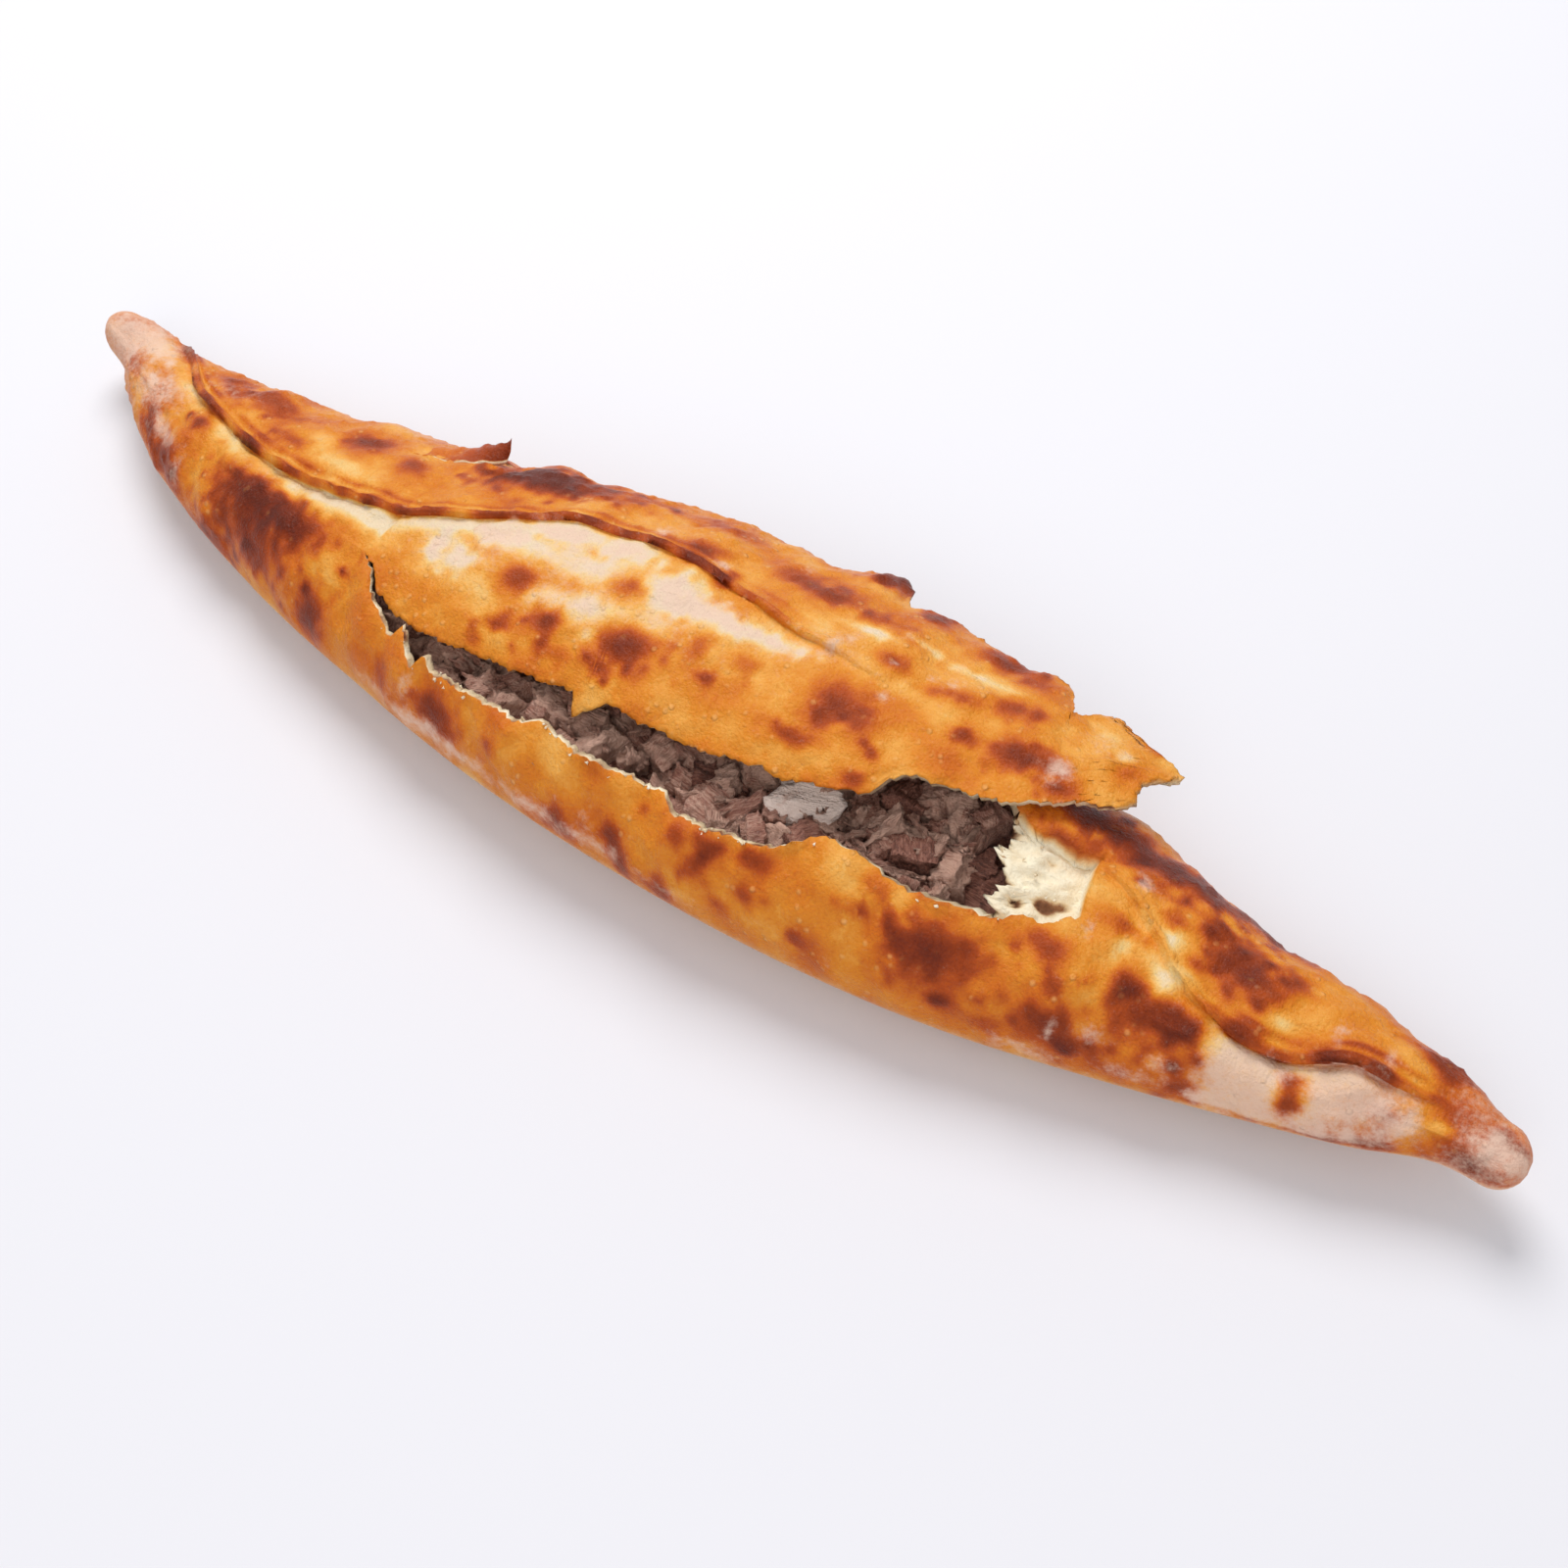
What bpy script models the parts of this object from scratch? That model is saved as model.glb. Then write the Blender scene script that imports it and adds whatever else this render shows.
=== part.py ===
"""Kavurma pide: a long closed flatbread, its top crust torn open over a filling of diced braised meat.

Two solids: the crust, whose torn lid still hangs on at the left, and the meat that runs through it.
+X is the long way, -Y the torn side, +Z up, and the flat underside rests on Z = 0.
"""

import math
import random

import bmesh
import bpy
import numpy as np
from mathutils import Euler, Vector

# Driving sizes of the loaf, in metres
TIP = 0.231
PLAN = (
    (-0.231, -0.0010, 0.0110),
    (-0.214, -0.0062, 0.0108),
    (-0.200, -0.0152, 0.0100),
    (-0.180, -0.0260, 0.0107),
    (-0.150, -0.0358, 0.0147),
    (-0.115, -0.0438, 0.0217),
    (-0.075, -0.0502, 0.0285),
    (-0.030, -0.0556, 0.0325),
    (0.020, -0.0562, 0.0335),
    (0.070, -0.0518, 0.0325),
    (0.110, -0.0436, 0.0285),
    (0.145, -0.0328, 0.0215),
    (0.175, -0.0230, 0.0172),
    (0.198, -0.0150, 0.0146),
    (0.214, -0.0078, 0.0106),
    (0.231, -0.0078, 0.0058),
)
HEIGHT_PER_HALF_WIDTH = 0.95
LEAST_HEIGHT = 0.0045
END_RISE = 0.013
FLAT_HALF_LENGTH = 0.090
NUB_ROUND = 0.007
BELLY_SHARE = 0.42
BELLY_SQUARENESS = 2.7
FLAT_OVERREACH = 1.06

# The seam where the far half of the dough laps over the near half: place, angle round the loaf
SEAM = (
    (-0.214, 150), (-0.200, 138), (-0.188, 115), (-0.176, 96), (-0.155, 83), (-0.082, 83),
    (-0.057, 92), (-0.035, 102), (-0.005, 101), (0.036, 90), (0.100, 87), (0.124, 104),
    (0.138, 93), (0.150, 76), (0.167, 62), (0.178, 62), (0.190, 77), (0.204, 76), (0.218, 80),
)
SEAM_LIP = 0.0014
LIP_FADE = 0.14

# The tear: the near and far cuts as angles round the loaf, and what came away
TEAR_LEFT = -0.082
TEAR_RIGHT = 0.100
TEAR_SLANT = 0.009
PEEL_RIGHT = 0.122
LID_RIGHT = 0.122
NEAR_CUT = (
    (-0.200, 62), (-0.100, 60), (-0.082, 60), (-0.072, 44), (-0.058, 36), (-0.030, 34),
    (0.010, 36), (0.050, 39), (0.066, 53), (0.090, 55), (0.106, 65), (0.120, 80), (0.135, 66),
    (0.150, 50), (0.200, 42),
)
FAR_CUT = (
    (-0.220, 172), (-0.200, 162), (-0.150, 146), (-0.082, 141), (-0.072, 150), (-0.055, 156),
    (0.000, 157), (0.050, 150), (0.080, 130), (0.098, 111), (0.120, 110), (0.135, 122),
    (0.200, 146),
)
LID_NEAR = (
    (-0.082, 60), (-0.072, 46), (-0.055, 38), (-0.030, 35), (0.010, 36), (0.050, 41),
    (0.066, 46), (0.090, 58), (0.122, 72),
)
LID_FAR = (
    (-0.082, 141), (-0.050, 146), (0.000, 150), (0.032, 153), (0.038, 144), (0.060, 141),
    (0.090, 128), (0.122, 121),
)
LID_END = (-0.005, -0.002, -0.003, -0.004, -0.003, 0.000, 0.002, 0.000, -0.006, -0.013, -0.016)
LID_END_REACH = 0.036
LID_SWING = (
    (-0.092, 0.0), (-0.082, 0.0), (-0.066, 0.0030), (-0.040, 0.0085), (0.000, 0.0145),
    (0.040, 0.0190), (0.080, 0.0240), (0.122, 0.0300),
)
LID_LIFT = 0.0024
LID_ROLL = math.radians(9)
SWING_EASE = 0.012
PEEL_DEPTH = 0.0034
RAGGED = 0.0007

# Walls and the hollow
WALL = 0.0031
LID_WALL = 0.0028
TORN_EDGE = 0.0019
FLOOR = 0.0050
HOLLOW_LEFT = -0.150
HOLLOW_RIGHT = 0.124
HOLLOW_BLUNTNESS = 10

# Filling
GAP = 0.0016
MEAT_LEVEL = 0.0255
MEAT_SHARE = 0.74
MEAT_LEFT = -0.147
MEAT_RIGHT = 0.113
MEAT_SIDES = 22
MEAT_STATIONS = 40
DICE_ROWS = 5
DICE_STEP = 0.0106
DICE_SIZE = (0.0082, 0.0118)
DICE_NEAR = -0.048
DICE_LIFT = 0.0012
DICE_CORNER = 0.16
DICE_CLEARANCE = 0.0014
DICE_TOP = 0.0330
SEED = 52

# Facets
TEAR_STEP = 0.0042
END_STEPS = 15
NUB_STEPS = 4
BELOW_NEAR = 9
CUT_TO_SEAM = 5
SEAM_TO_CUT = 5
BELOW_FAR = 9
INNER_EVERY = 2


def through(knots, x):
    """Value at x of the smooth curve through (place, value) knots."""
    at = np.array([knot[0] for knot in knots])
    value = np.array([knot[1] for knot in knots], float)
    slope = np.gradient(value, at)
    x = np.clip(x, at[0], at[-1])
    i = np.clip(np.searchsorted(at, x) - 1, 0, len(at) - 2)
    span = at[i + 1] - at[i]
    t = (x - at[i]) / span
    rise = t * t * (3 - 2 * t)
    start = t * (1 - t) ** 2 * span * slope[i]
    stop = t * t * (t - 1) * span * slope[i + 1]
    return value[i] + (value[i + 1] - value[i]) * rise + start + stop


def smooth(low, high, x):
    """0 below low, 1 above high, and an even rise between."""
    t = np.clip((x - low) / (high - low), 0, 1)
    return t * t * (3 - 2 * t)


def loaf_sizes(x):
    """Middle line, half width, lowest and highest level of the whole loaf at x."""
    near = through([(place, low) for place, low, _ in PLAN], x)
    far = through([(place, high) for place, _, high in PLAN], x)
    half = (far - near) / 2
    rise = END_RISE * np.clip((np.abs(x) - FLAT_HALF_LENGTH) / (TIP - FLAT_HALF_LENGTH), 0, 1) ** 1.7
    top = rise + HEIGHT_PER_HALF_WIDTH * half + LEAST_HEIGHT
    into_nub = np.clip((TIP - np.abs(x)) / NUB_ROUND, 0, 1)
    closing = np.sqrt(into_nub * (2 - into_nub))
    middle = (rise + top) / 2
    low = middle + (rise - middle) * closing
    high = middle + (top - middle) * closing
    return (near + far) / 2, half * closing, low, high


def ring_point(x, degrees, sizes):
    """Point on a loaf section: 0 degrees is the near side, 90 the top, 180 the far side, 270 below."""
    centre, half, low, high = sizes
    turn = np.radians(degrees)
    across, up = np.cos(turn), np.sin(turn)
    belt = low + BELLY_SHARE * (high - low)
    power = 2 / BELLY_SQUARENESS
    crown = belt + (high - belt) * np.maximum(up, 0)
    belly = belt - (belt - low) * np.minimum(FLAT_OVERREACH * np.maximum(-up, 0) ** power, 1)
    side = np.where(up < 0, np.sign(across) * np.abs(across) ** power, across)
    return np.stack(np.broadcast_arrays(x, centre - half * side, np.where(up < 0, belly, crown)), -1)


def lumps(x, degrees):
    """The uneven swell of the baked dough, in metres, nothing on the underside."""
    turn = np.radians(degrees)
    swell = 0.5 * np.sin(127 * x + 1.3 * turn) + 0.4 * np.sin(211 * x - 2.1 * turn + 1.0)
    swell += 0.3 * np.sin(341 * x + 3.4 * turn + 2.2)
    return 0.0009 * swell * smooth(-0.35, 0.25, np.sin(turn))


def seam_relief(x, degrees):
    """Height of the lapped edge: a small step up at the seam that fades towards the far side."""
    past = np.radians(degrees - through(SEAM, x))
    lip = np.where(past >= 0, np.exp(-np.maximum(past, 0) / LIP_FADE), 0)
    shown = smooth(-0.212, -0.200, x) * (1 - smooth(0.206, 0.216, x))
    hidden = smooth(0.040, 0.060, x) * (1 - smooth(0.122, 0.132, x))
    return SEAM_LIP * lip * shown * (1 - hidden)


def slanted(x, degrees):
    """Place of a point of the section at x: the right end of the tear reaches further on the near side."""
    near_side = 1 - smooth(60, 110, np.abs((degrees + 180) % 360 - 180))
    by_the_end = smooth(TEAR_RIGHT - 0.03, TEAR_RIGHT, x) * (1 - smooth(TEAR_RIGHT, 0.160, x))
    return x + TEAR_SLANT * near_side * by_the_end


def outer_point(x, degrees, sunk=0.0):
    """Point on the baked outside of the crust, sunk in where the surface is peeled away."""
    centre, half, low, high = loaf_sizes(x)
    room = np.minimum(half / 0.02, 1)
    out = (lumps(x, degrees) * room + seam_relief(x, degrees) * room) - sunk
    lift = smooth(-0.2, 0.3, np.sin(np.radians(degrees)))
    return ring_point(x, degrees, (centre, half + out, low, high + out * lift))


def hollow_sizes(x, wall, floor=FLOOR):
    """The same four sizes for the hollow inside the crust, which closes at both of its ends."""
    centre, half, low, high = loaf_sizes(x)
    middle_x = (HOLLOW_LEFT + HOLLOW_RIGHT) / 2
    reach = np.clip(np.abs(x - middle_x) / (HOLLOW_RIGHT - middle_x), 0, 1)
    closing = np.sqrt(1 - reach**HOLLOW_BLUNTNESS)
    middle = (low + high) / 2
    return (
        centre,
        (half - wall) * closing,
        middle + (low + floor - middle) * closing,
        middle + (high - wall - middle) * closing,
    )


def inner_point(x, degrees, wall):
    return ring_point(x, degrees, hollow_sizes(x, wall))


def swung(points):
    """Points of the lid after it has been pulled to the far side, growing from its root."""
    x = points[..., 0]
    run = np.maximum(x - TEAR_LEFT, 0)
    run = run * run / (run + SWING_EASE)
    share = run / (LID_RIGHT - TEAR_LEFT)
    centre, _, _, high = loaf_sizes(x)
    roll = LID_ROLL * share
    across = points[..., 1] - centre
    below = points[..., 2] - high
    moved = np.array(points)
    moved[..., 1] = centre + through(LID_SWING, x) + across * np.cos(roll) + below * np.sin(roll)
    moved[..., 2] = high + LID_LIFT * share - across * np.sin(roll) + below * np.cos(roll)
    return moved


def ragged(x, phase):
    """Sideways wander of a torn edge at x, in metres."""
    return RAGGED * (np.sin(613 * x + phase) + 0.8 * np.sin(1109 * x + 2.3 * phase))


def crossing_angles(near, seam, far):
    """Angles of the columns over the top, from the near cut by the seam to the far cut."""
    first = [near + (seam - near) * k / CUT_TO_SEAM for k in range(CUT_TO_SEAM)]
    last = [seam + (far - seam) * k / SEAM_TO_CUT for k in range(SEAM_TO_CUT + 1)]
    return first + last


def below_angles(near, far):
    """Angles of the columns from the far cut round the underside to the near cut, both left out."""
    first = [far + (270 - far) * k / BELOW_FAR for k in range(1, BELOW_FAR + 1)]
    last = [270 + (360 + near - 270) * k / BELOW_NEAR for k in range(1, BELOW_NEAR)]
    return first + last


def stations():
    """Places of the sections along the loaf, and the indices of the tear's two ends."""
    nub = [TIP - NUB_ROUND * (1 - math.cos(math.pi / 2 * k / NUB_STEPS)) for k in range(1, NUB_STEPS + 1)]
    left_run = TIP - NUB_ROUND + TEAR_LEFT
    left = [TEAR_LEFT - left_run * k / END_STEPS for k in range(END_STEPS, 0, -1)]
    steps = round((TEAR_RIGHT - TEAR_LEFT) / TEAR_STEP)
    tear = [TEAR_LEFT + (TEAR_RIGHT - TEAR_LEFT) * k / steps for k in range(steps + 1)]
    right_run = TIP - NUB_ROUND - TEAR_RIGHT
    right = [TEAR_RIGHT + right_run * k / END_STEPS for k in range(1, END_STEPS)]
    places = [-place for place in nub[:-1]] + left + tear + right + nub[::-1]
    first = len(nub) - 1 + len(left)
    return places, first, first + steps


class Shell:
    """Vertices and faces of one closed skin, gathered sheet by sheet."""

    def __init__(self):
        self.points = []
        self.faces = []

    def add(self, point):
        self.points.append(tuple(float(value) for value in point))
        return len(self.points) - 1

    def row(self, points):
        return [self.add(point) for point in points]

    def bridge(self, a, b):
        """Quads between two rows of the same length, facing to the left of a towards b."""
        for k in range(len(a) - 1):
            corners = [a[k], a[k + 1], b[k + 1], b[k]]
            face = [corner for i, corner in enumerate(corners) if corner != corners[i - 1]]
            if len(face) > 2:
                self.faces.append(face)


def around(near, seam, far):
    """All column angles of one section, starting at the near cut and going over the top."""
    return np.array(crossing_angles(near, seam, far) + below_angles(near, far), float)


TOP = CUT_TO_SEAM + SEAM_TO_CUT


def crust_shell():
    """The crust: outside, hollow and torn edges, with the lid as a tongue that hangs on at the left."""
    shell = Shell()
    places, first, last = stations()
    outer = {}
    for i, x in enumerate(places):
        angles = around(float(through(NEAR_CUT, x)), float(through(SEAM, x)), float(through(FAR_CUT, x)))
        if first < i <= last:
            reach = 1 / loaf_sizes(x)[1]
            angles[0] += math.degrees(ragged(x, 0.7) * reach)
            angles[TOP] += math.degrees(ragged(x, 4.1) * reach)
        peeled = TEAR_RIGHT <= x < PEEL_RIGHT - TEAR_STEP
        column = np.arange(len(angles))
        sunk = np.where((column > 0) & (column < TOP), PEEL_DEPTH, 0)
        points = outer_point(slanted(x, angles), angles, sunk if peeled else 0.0)
        if i in (0, len(places) - 1):
            points = [points.mean(axis=0)]
        outer[i] = shell.row(points)
    inner = {}
    columns = list(range(0, TOP + 1, INNER_EVERY))
    columns += list(range(TOP + 2, TOP + BELOW_FAR + BELOW_NEAR, INNER_EVERY))
    hollow = [x for x in places if HOLLOW_LEFT + 0.002 < x < HOLLOW_RIGHT - TEAR_SLANT - 0.002]
    for x in hollow:
        i = places.index(x)
        angles = around(float(through(NEAR_CUT, x)), float(through(SEAM, x)), float(through(FAR_CUT, x)))
        torn = first < i <= last
        walls = np.array([TORN_EDGE if torn and j in (0, TOP) else WALL for j in columns])
        inner[i] = shell.row(inner_point(slanted(x, angles[columns]), angles[columns], walls))
    first_inner, last_inner = min(inner), max(inner)
    left_end = shell.add(inner_point(HOLLOW_LEFT, np.array([90.0]), WALL)[0])
    right_end = shell.add(inner_point(HOLLOW_RIGHT, np.array([90.0]), WALL)[0])
    top_inner = columns.index(TOP)

    def closed(row):
        return row + row[:1]

    for i in range(len(places) - 1):
        a, b = outer[i], outer[i + 1]
        a = a * (len(b) + 1) if len(a) == 1 else closed(a)
        b = b * (len(a) if len(b) == 1 else 1)
        b = b if len(b) == len(a) else closed(b)
        if first <= i < last:
            a, b = a[TOP:], b[TOP:]
        shell.bridge(b, a)
    for i in range(first_inner, last_inner):
        a, b = closed(inner[i]), closed(inner[i + 1])
        if first <= i < last:
            a, b = a[top_inner:], b[top_inner:]
        shell.bridge(a, b)
    shell.bridge([left_end] * (len(columns) + 1), closed(inner[first_inner]))
    shell.bridge(closed(inner[last_inner]), [right_end] * (len(columns) + 1))
    tear = range(first, last + 1)
    shell.bridge([outer[i][0] for i in tear], [inner[i][0] for i in tear])
    shell.bridge([inner[i][top_inner] for i in tear], [outer[i][TOP] for i in tear])
    weave(shell, outer[last][: TOP + 1], inner[last][: top_inner + 1], False)
    add_lid(shell, outer[first][: TOP + 1], inner[first][: top_inner + 1])
    return shell


def weave(shell, fine, coarse, forward):
    """Joins a fine row to a coarse row that has a point for every INNER_EVERY of its own."""
    for k in range(len(coarse) - 1):
        start = k * INNER_EVERY
        strip = fine[start : start + INNER_EVERY + 1]
        corners = strip + [coarse[k + 1], coarse[k]]
        shell.faces.append(corners[::-1] if forward else corners)


def add_lid(shell, outer_root, inner_root):
    """The lid, from the two rows of points at its root on the crust."""
    steps = round((LID_RIGHT - TEAR_LEFT) / TEAR_STEP)
    outer, inner = [outer_root], [inner_root]
    for i in range(1, steps + 1):
        x = TEAR_LEFT + (LID_RIGHT - TEAR_LEFT) * i / steps
        near, far = float(through(LID_NEAR, x)), float(through(LID_FAR, x))
        reach = 1 / loaf_sizes(x)[1]
        near += math.degrees(ragged(x, 1.9) * reach)
        far += math.degrees(ragged(x, 5.2) * reach)
        angles = np.array(crossing_angles(near, float(through(SEAM, x)), far))
        bite = smooth(LID_RIGHT - LID_END_REACH, LID_RIGHT, x) * np.array(LID_END)
        outer.append(shell.row(swung(outer_point(x + bite, angles))))
        coarse = np.arange(0, TOP + 1, INNER_EVERY)
        walls = np.where((coarse == 0) | (coarse == TOP) | (i == steps), TORN_EDGE, LID_WALL)
        sizes = loaf_sizes(x + bite[coarse])
        shrunk = (sizes[0], sizes[1] - walls, sizes[2], sizes[3] - walls)
        inner.append(shell.row(swung(ring_point(x + bite[coarse], angles[coarse], shrunk))))
    for i in range(steps):
        shell.bridge(outer[i + 1], outer[i])
        shell.bridge(inner[i], inner[i + 1])
    shell.bridge([row[0] for row in inner], [row[0] for row in outer])
    shell.bridge([row[-1] for row in outer], [row[-1] for row in inner])
    weave(shell, outer[-1], inner[-1], True)


def material(name, colour, roughness):
    made = bpy.data.materials.new(name)
    made.use_nodes = True
    shader = made.node_tree.nodes["Principled BSDF"]
    shader.inputs["Base Color"].default_value = (*colour, 1)
    shader.inputs["Roughness"].default_value = roughness
    shader.inputs["Metallic"].default_value = 0
    made.diffuse_color = (*colour, 1)
    return made


def mesh_object(name, points, faces, finish=None):
    mesh = bpy.data.meshes.new(name)
    mesh.from_pydata([tuple(point) for point in points], [], faces)
    if finish:
        mesh.materials.append(finish)
    mesh.update()
    made = bpy.data.objects.new(name, mesh)
    bpy.context.scene.collection.objects.link(made)
    return made


def meat_top(x, y):
    """Level of the settled meat: uneven, and lower where the hollow narrows."""
    _, _, low, high = hollow_sizes(x, WALL)
    level = np.minimum(MEAT_LEVEL, low + MEAT_SHARE * (high - low))
    return level + 0.0009 * np.sin(270 * x + 1.0) * np.cos(190 * y) + 0.0006 * np.sin(430 * x - 260 * y)


def meat_core(finish):
    """The packed filling: it follows the hollow with a small gap and is level on top."""
    shell = Shell()
    half_top = MEAT_SIDES // 2 + 2
    over = [180 * k / half_top for k in range(half_top + 1)]
    under = [180 + 180 * k / (MEAT_SIDES - half_top) for k in range(1, MEAT_SIDES - half_top)]
    angles = np.array(over + under)
    rows = []
    for i in range(1, MEAT_STATIONS):
        x = MEAT_LEFT + (MEAT_RIGHT - MEAT_LEFT) * i / MEAT_STATIONS
        centre, half, low, high = hollow_sizes(x, WALL)
        end = 1 - max(abs(2 * i / MEAT_STATIONS - 1), 0) ** 14
        sizes = (centre, (half - GAP) * math.sqrt(end), low + GAP + 0.004 * (1 - end), high - GAP)
        ring = ring_point(x, angles, sizes)
        ring[:, 2] = np.minimum(ring[:, 2], meat_top(x, ring[:, 1]))
        rows.append(shell.row(ring))
    ends = []
    for x, row in ((MEAT_LEFT, rows[0]), (MEAT_RIGHT, rows[-1])):
        corners = np.array([shell.points[index] for index in row])
        ends.append(shell.add((x, corners[:, 1].mean(), (corners[:, 2].min() + corners[:, 2].max()) / 2)))
    for a, b in zip(rows[:-1], rows[1:]):
        shell.bridge(b + b[:1], a + a[:1])
    shell.bridge(rows[0] + rows[0][:1], [ends[0]] * (len(rows[0]) + 1))
    shell.bridge([ends[1]] * (len(rows[-1]) + 1), rows[-1] + rows[-1][:1])
    return mesh_object("kavurma_filling", shell.points, shell.faces, finish)


def meat_dice(draw, centre, size, into):
    """One rough dice of meat, its corners drawn in and out, into a collection."""
    turn = Euler([draw.uniform(-0.6, 0.6), draw.uniform(-0.6, 0.6), draw.uniform(0, math.pi)])
    sides = Vector([size * draw.uniform(0.75, 1.15) for _ in range(3)]) / 2
    corners = []
    for k in range(8):
        sign = Vector((k & 1, k >> 1 & 1, k >> 2)) * 2 - Vector((1, 1, 1))
        wander = Vector([1 - draw.uniform(0, DICE_CORNER) for _ in range(3)])
        corner = sign * sides * wander
        corner.rotate(turn)
        corners.append(centre + corner)
    faces = [(0, 2, 3, 1), (4, 5, 7, 6), (0, 1, 5, 4), (2, 6, 7, 3), (0, 4, 6, 2), (1, 3, 7, 5)]
    made = mesh_object("dice", corners, faces)
    bpy.context.scene.collection.objects.unlink(made)
    into.objects.link(made)
    return made


def fits_hollow(points):
    """True where every point is inside the hollow, clear of its wall."""
    for x, y, z in points:
        if x > TEAR_RIGHT - DICE_CLEARANCE or z > DICE_TOP:
            return False
        centre, half, low, high = hollow_sizes(x, WALL)
        belt = low + BELLY_SHARE * (high - low)
        across = (y - centre) / (half - DICE_CLEARANCE)
        up = max(z - belt, 0) / (high - belt - DICE_CLEARANCE)
        if across**2 + up**2 > 1:
            return False
    return True


def filling(finish):
    """The core with the dice that show fused on, as one body."""
    core = meat_core(finish)
    dice = bpy.data.collections.new("dice")
    bpy.context.scene.collection.children.link(dice)
    draw = random.Random(SEED)
    steps = int((TEAR_RIGHT - TEAR_LEFT) / DICE_STEP)
    for i in range(steps):
        for row in range(DICE_ROWS):
            x = TEAR_LEFT + (i + 0.5 + 0.5 * (row % 2)) * DICE_STEP + draw.uniform(-0.002, 0.002)
            y = DICE_NEAR + (row + 0.7) * DICE_STEP + draw.uniform(-0.002, 0.002)
            size = draw.uniform(*DICE_SIZE)
            lift = DICE_LIFT + draw.uniform(-0.0015, 0.0015)
            for pull in range(6):
                place = Vector((x, y + 0.0016 * pull, meat_top(x, y) + lift - 0.0004 * pull))
                one = meat_dice(draw, place, size, dice)
                if fits_hollow([one.matrix_world @ corner.co for corner in one.data.vertices]):
                    break
                bpy.data.objects.remove(one)
    fuse = core.modifiers.new("Fuse", "BOOLEAN")
    fuse.operation = "UNION"
    fuse.operand_type = "COLLECTION"
    fuse.collection = dice
    fuse.solver = "MANIFOLD"
    graph = bpy.context.evaluated_depsgraph_get()
    fused = bpy.data.meshes.new_from_object(core.evaluated_get(graph))
    core.modifiers.clear()
    keep_outer_skin(fused)
    core.data = fused
    for one in list(dice.objects):
        bpy.data.objects.remove(one)
    bpy.data.collections.remove(dice)
    return core


def keep_outer_skin(mesh):
    """Drops what fusing left apart, such as a pocket sealed between the dice, and keeps the largest skin."""
    work = bmesh.new()
    work.from_mesh(mesh)
    left = set(work.verts)
    skins = []
    while left:
        skin, edge = set(), [left.pop()]
        while edge:
            vertex = edge.pop()
            skin.add(vertex)
            for link in vertex.link_edges:
                other = link.other_vert(vertex)
                if other in left:
                    left.discard(other)
                    edge.append(other)
        skins.append(skin)
    kept = max(skins, key=len)
    bmesh.ops.delete(work, geom=[vertex for vertex in work.verts if vertex not in kept], context="VERTS")
    work.to_mesh(mesh)
    work.free()


def set_at_origin(objects):
    """Moves the meshes so that the whole stands on Z = 0 with the middle of its plan at the origin."""
    corners = np.array([vertex.co for made in objects for vertex in made.data.vertices])
    low, high = corners.min(axis=0), corners.max(axis=0)
    middle = Vector(((low[0] + high[0]) / 2, (low[1] + high[1]) / 2, low[2]))
    for made in objects:
        for vertex in made.data.vertices:
            vertex.co -= middle


def main():
    for old in list(bpy.data.objects):
        bpy.data.objects.remove(old)
    baked = material("baked_crust", (0.62, 0.30, 0.09), 0.55)
    braised = material("braised_meat", (0.17, 0.09, 0.07), 0.6)
    shell = crust_shell()
    crust = mesh_object("crust", shell.points, shell.faces, baked)
    set_at_origin([crust, filling(braised)])


main()
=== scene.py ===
"""Looks of the kavurma pide: a baked crust torn open along its length over diced braised meat.

The loaf lies along X with its torn side towards -Y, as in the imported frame. All sizes are in metres
and all angles round the loaf in degrees: 0 is the near side, 90 the top, 180 the far side.
"""

import logging
import math
from dataclasses import dataclass, field
from enum import Enum

import bmesh
import bpy
import numpy as np
from mathutils import Euler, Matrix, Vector


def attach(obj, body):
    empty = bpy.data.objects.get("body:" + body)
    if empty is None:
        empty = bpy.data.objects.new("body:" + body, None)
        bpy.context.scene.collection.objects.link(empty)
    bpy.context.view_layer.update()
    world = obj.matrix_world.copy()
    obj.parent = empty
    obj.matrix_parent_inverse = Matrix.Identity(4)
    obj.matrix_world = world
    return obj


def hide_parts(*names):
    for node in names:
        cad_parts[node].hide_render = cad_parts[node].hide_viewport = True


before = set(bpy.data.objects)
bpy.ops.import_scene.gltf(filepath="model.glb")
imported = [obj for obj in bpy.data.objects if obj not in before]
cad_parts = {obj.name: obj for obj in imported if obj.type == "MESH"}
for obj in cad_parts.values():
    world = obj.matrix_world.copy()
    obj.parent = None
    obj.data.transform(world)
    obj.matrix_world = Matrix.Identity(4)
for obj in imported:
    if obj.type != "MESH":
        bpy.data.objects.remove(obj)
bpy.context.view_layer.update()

LOG = logging.getLogger("pide")
MM = 0.001

Knots = tuple[tuple[float, float], ...]
Rows = tuple[tuple[float, ...], ...]
Colour = tuple[float, float, float]
Stops = tuple[tuple[float, Colour], ...]
Socket = bpy.types.NodeSocket

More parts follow.
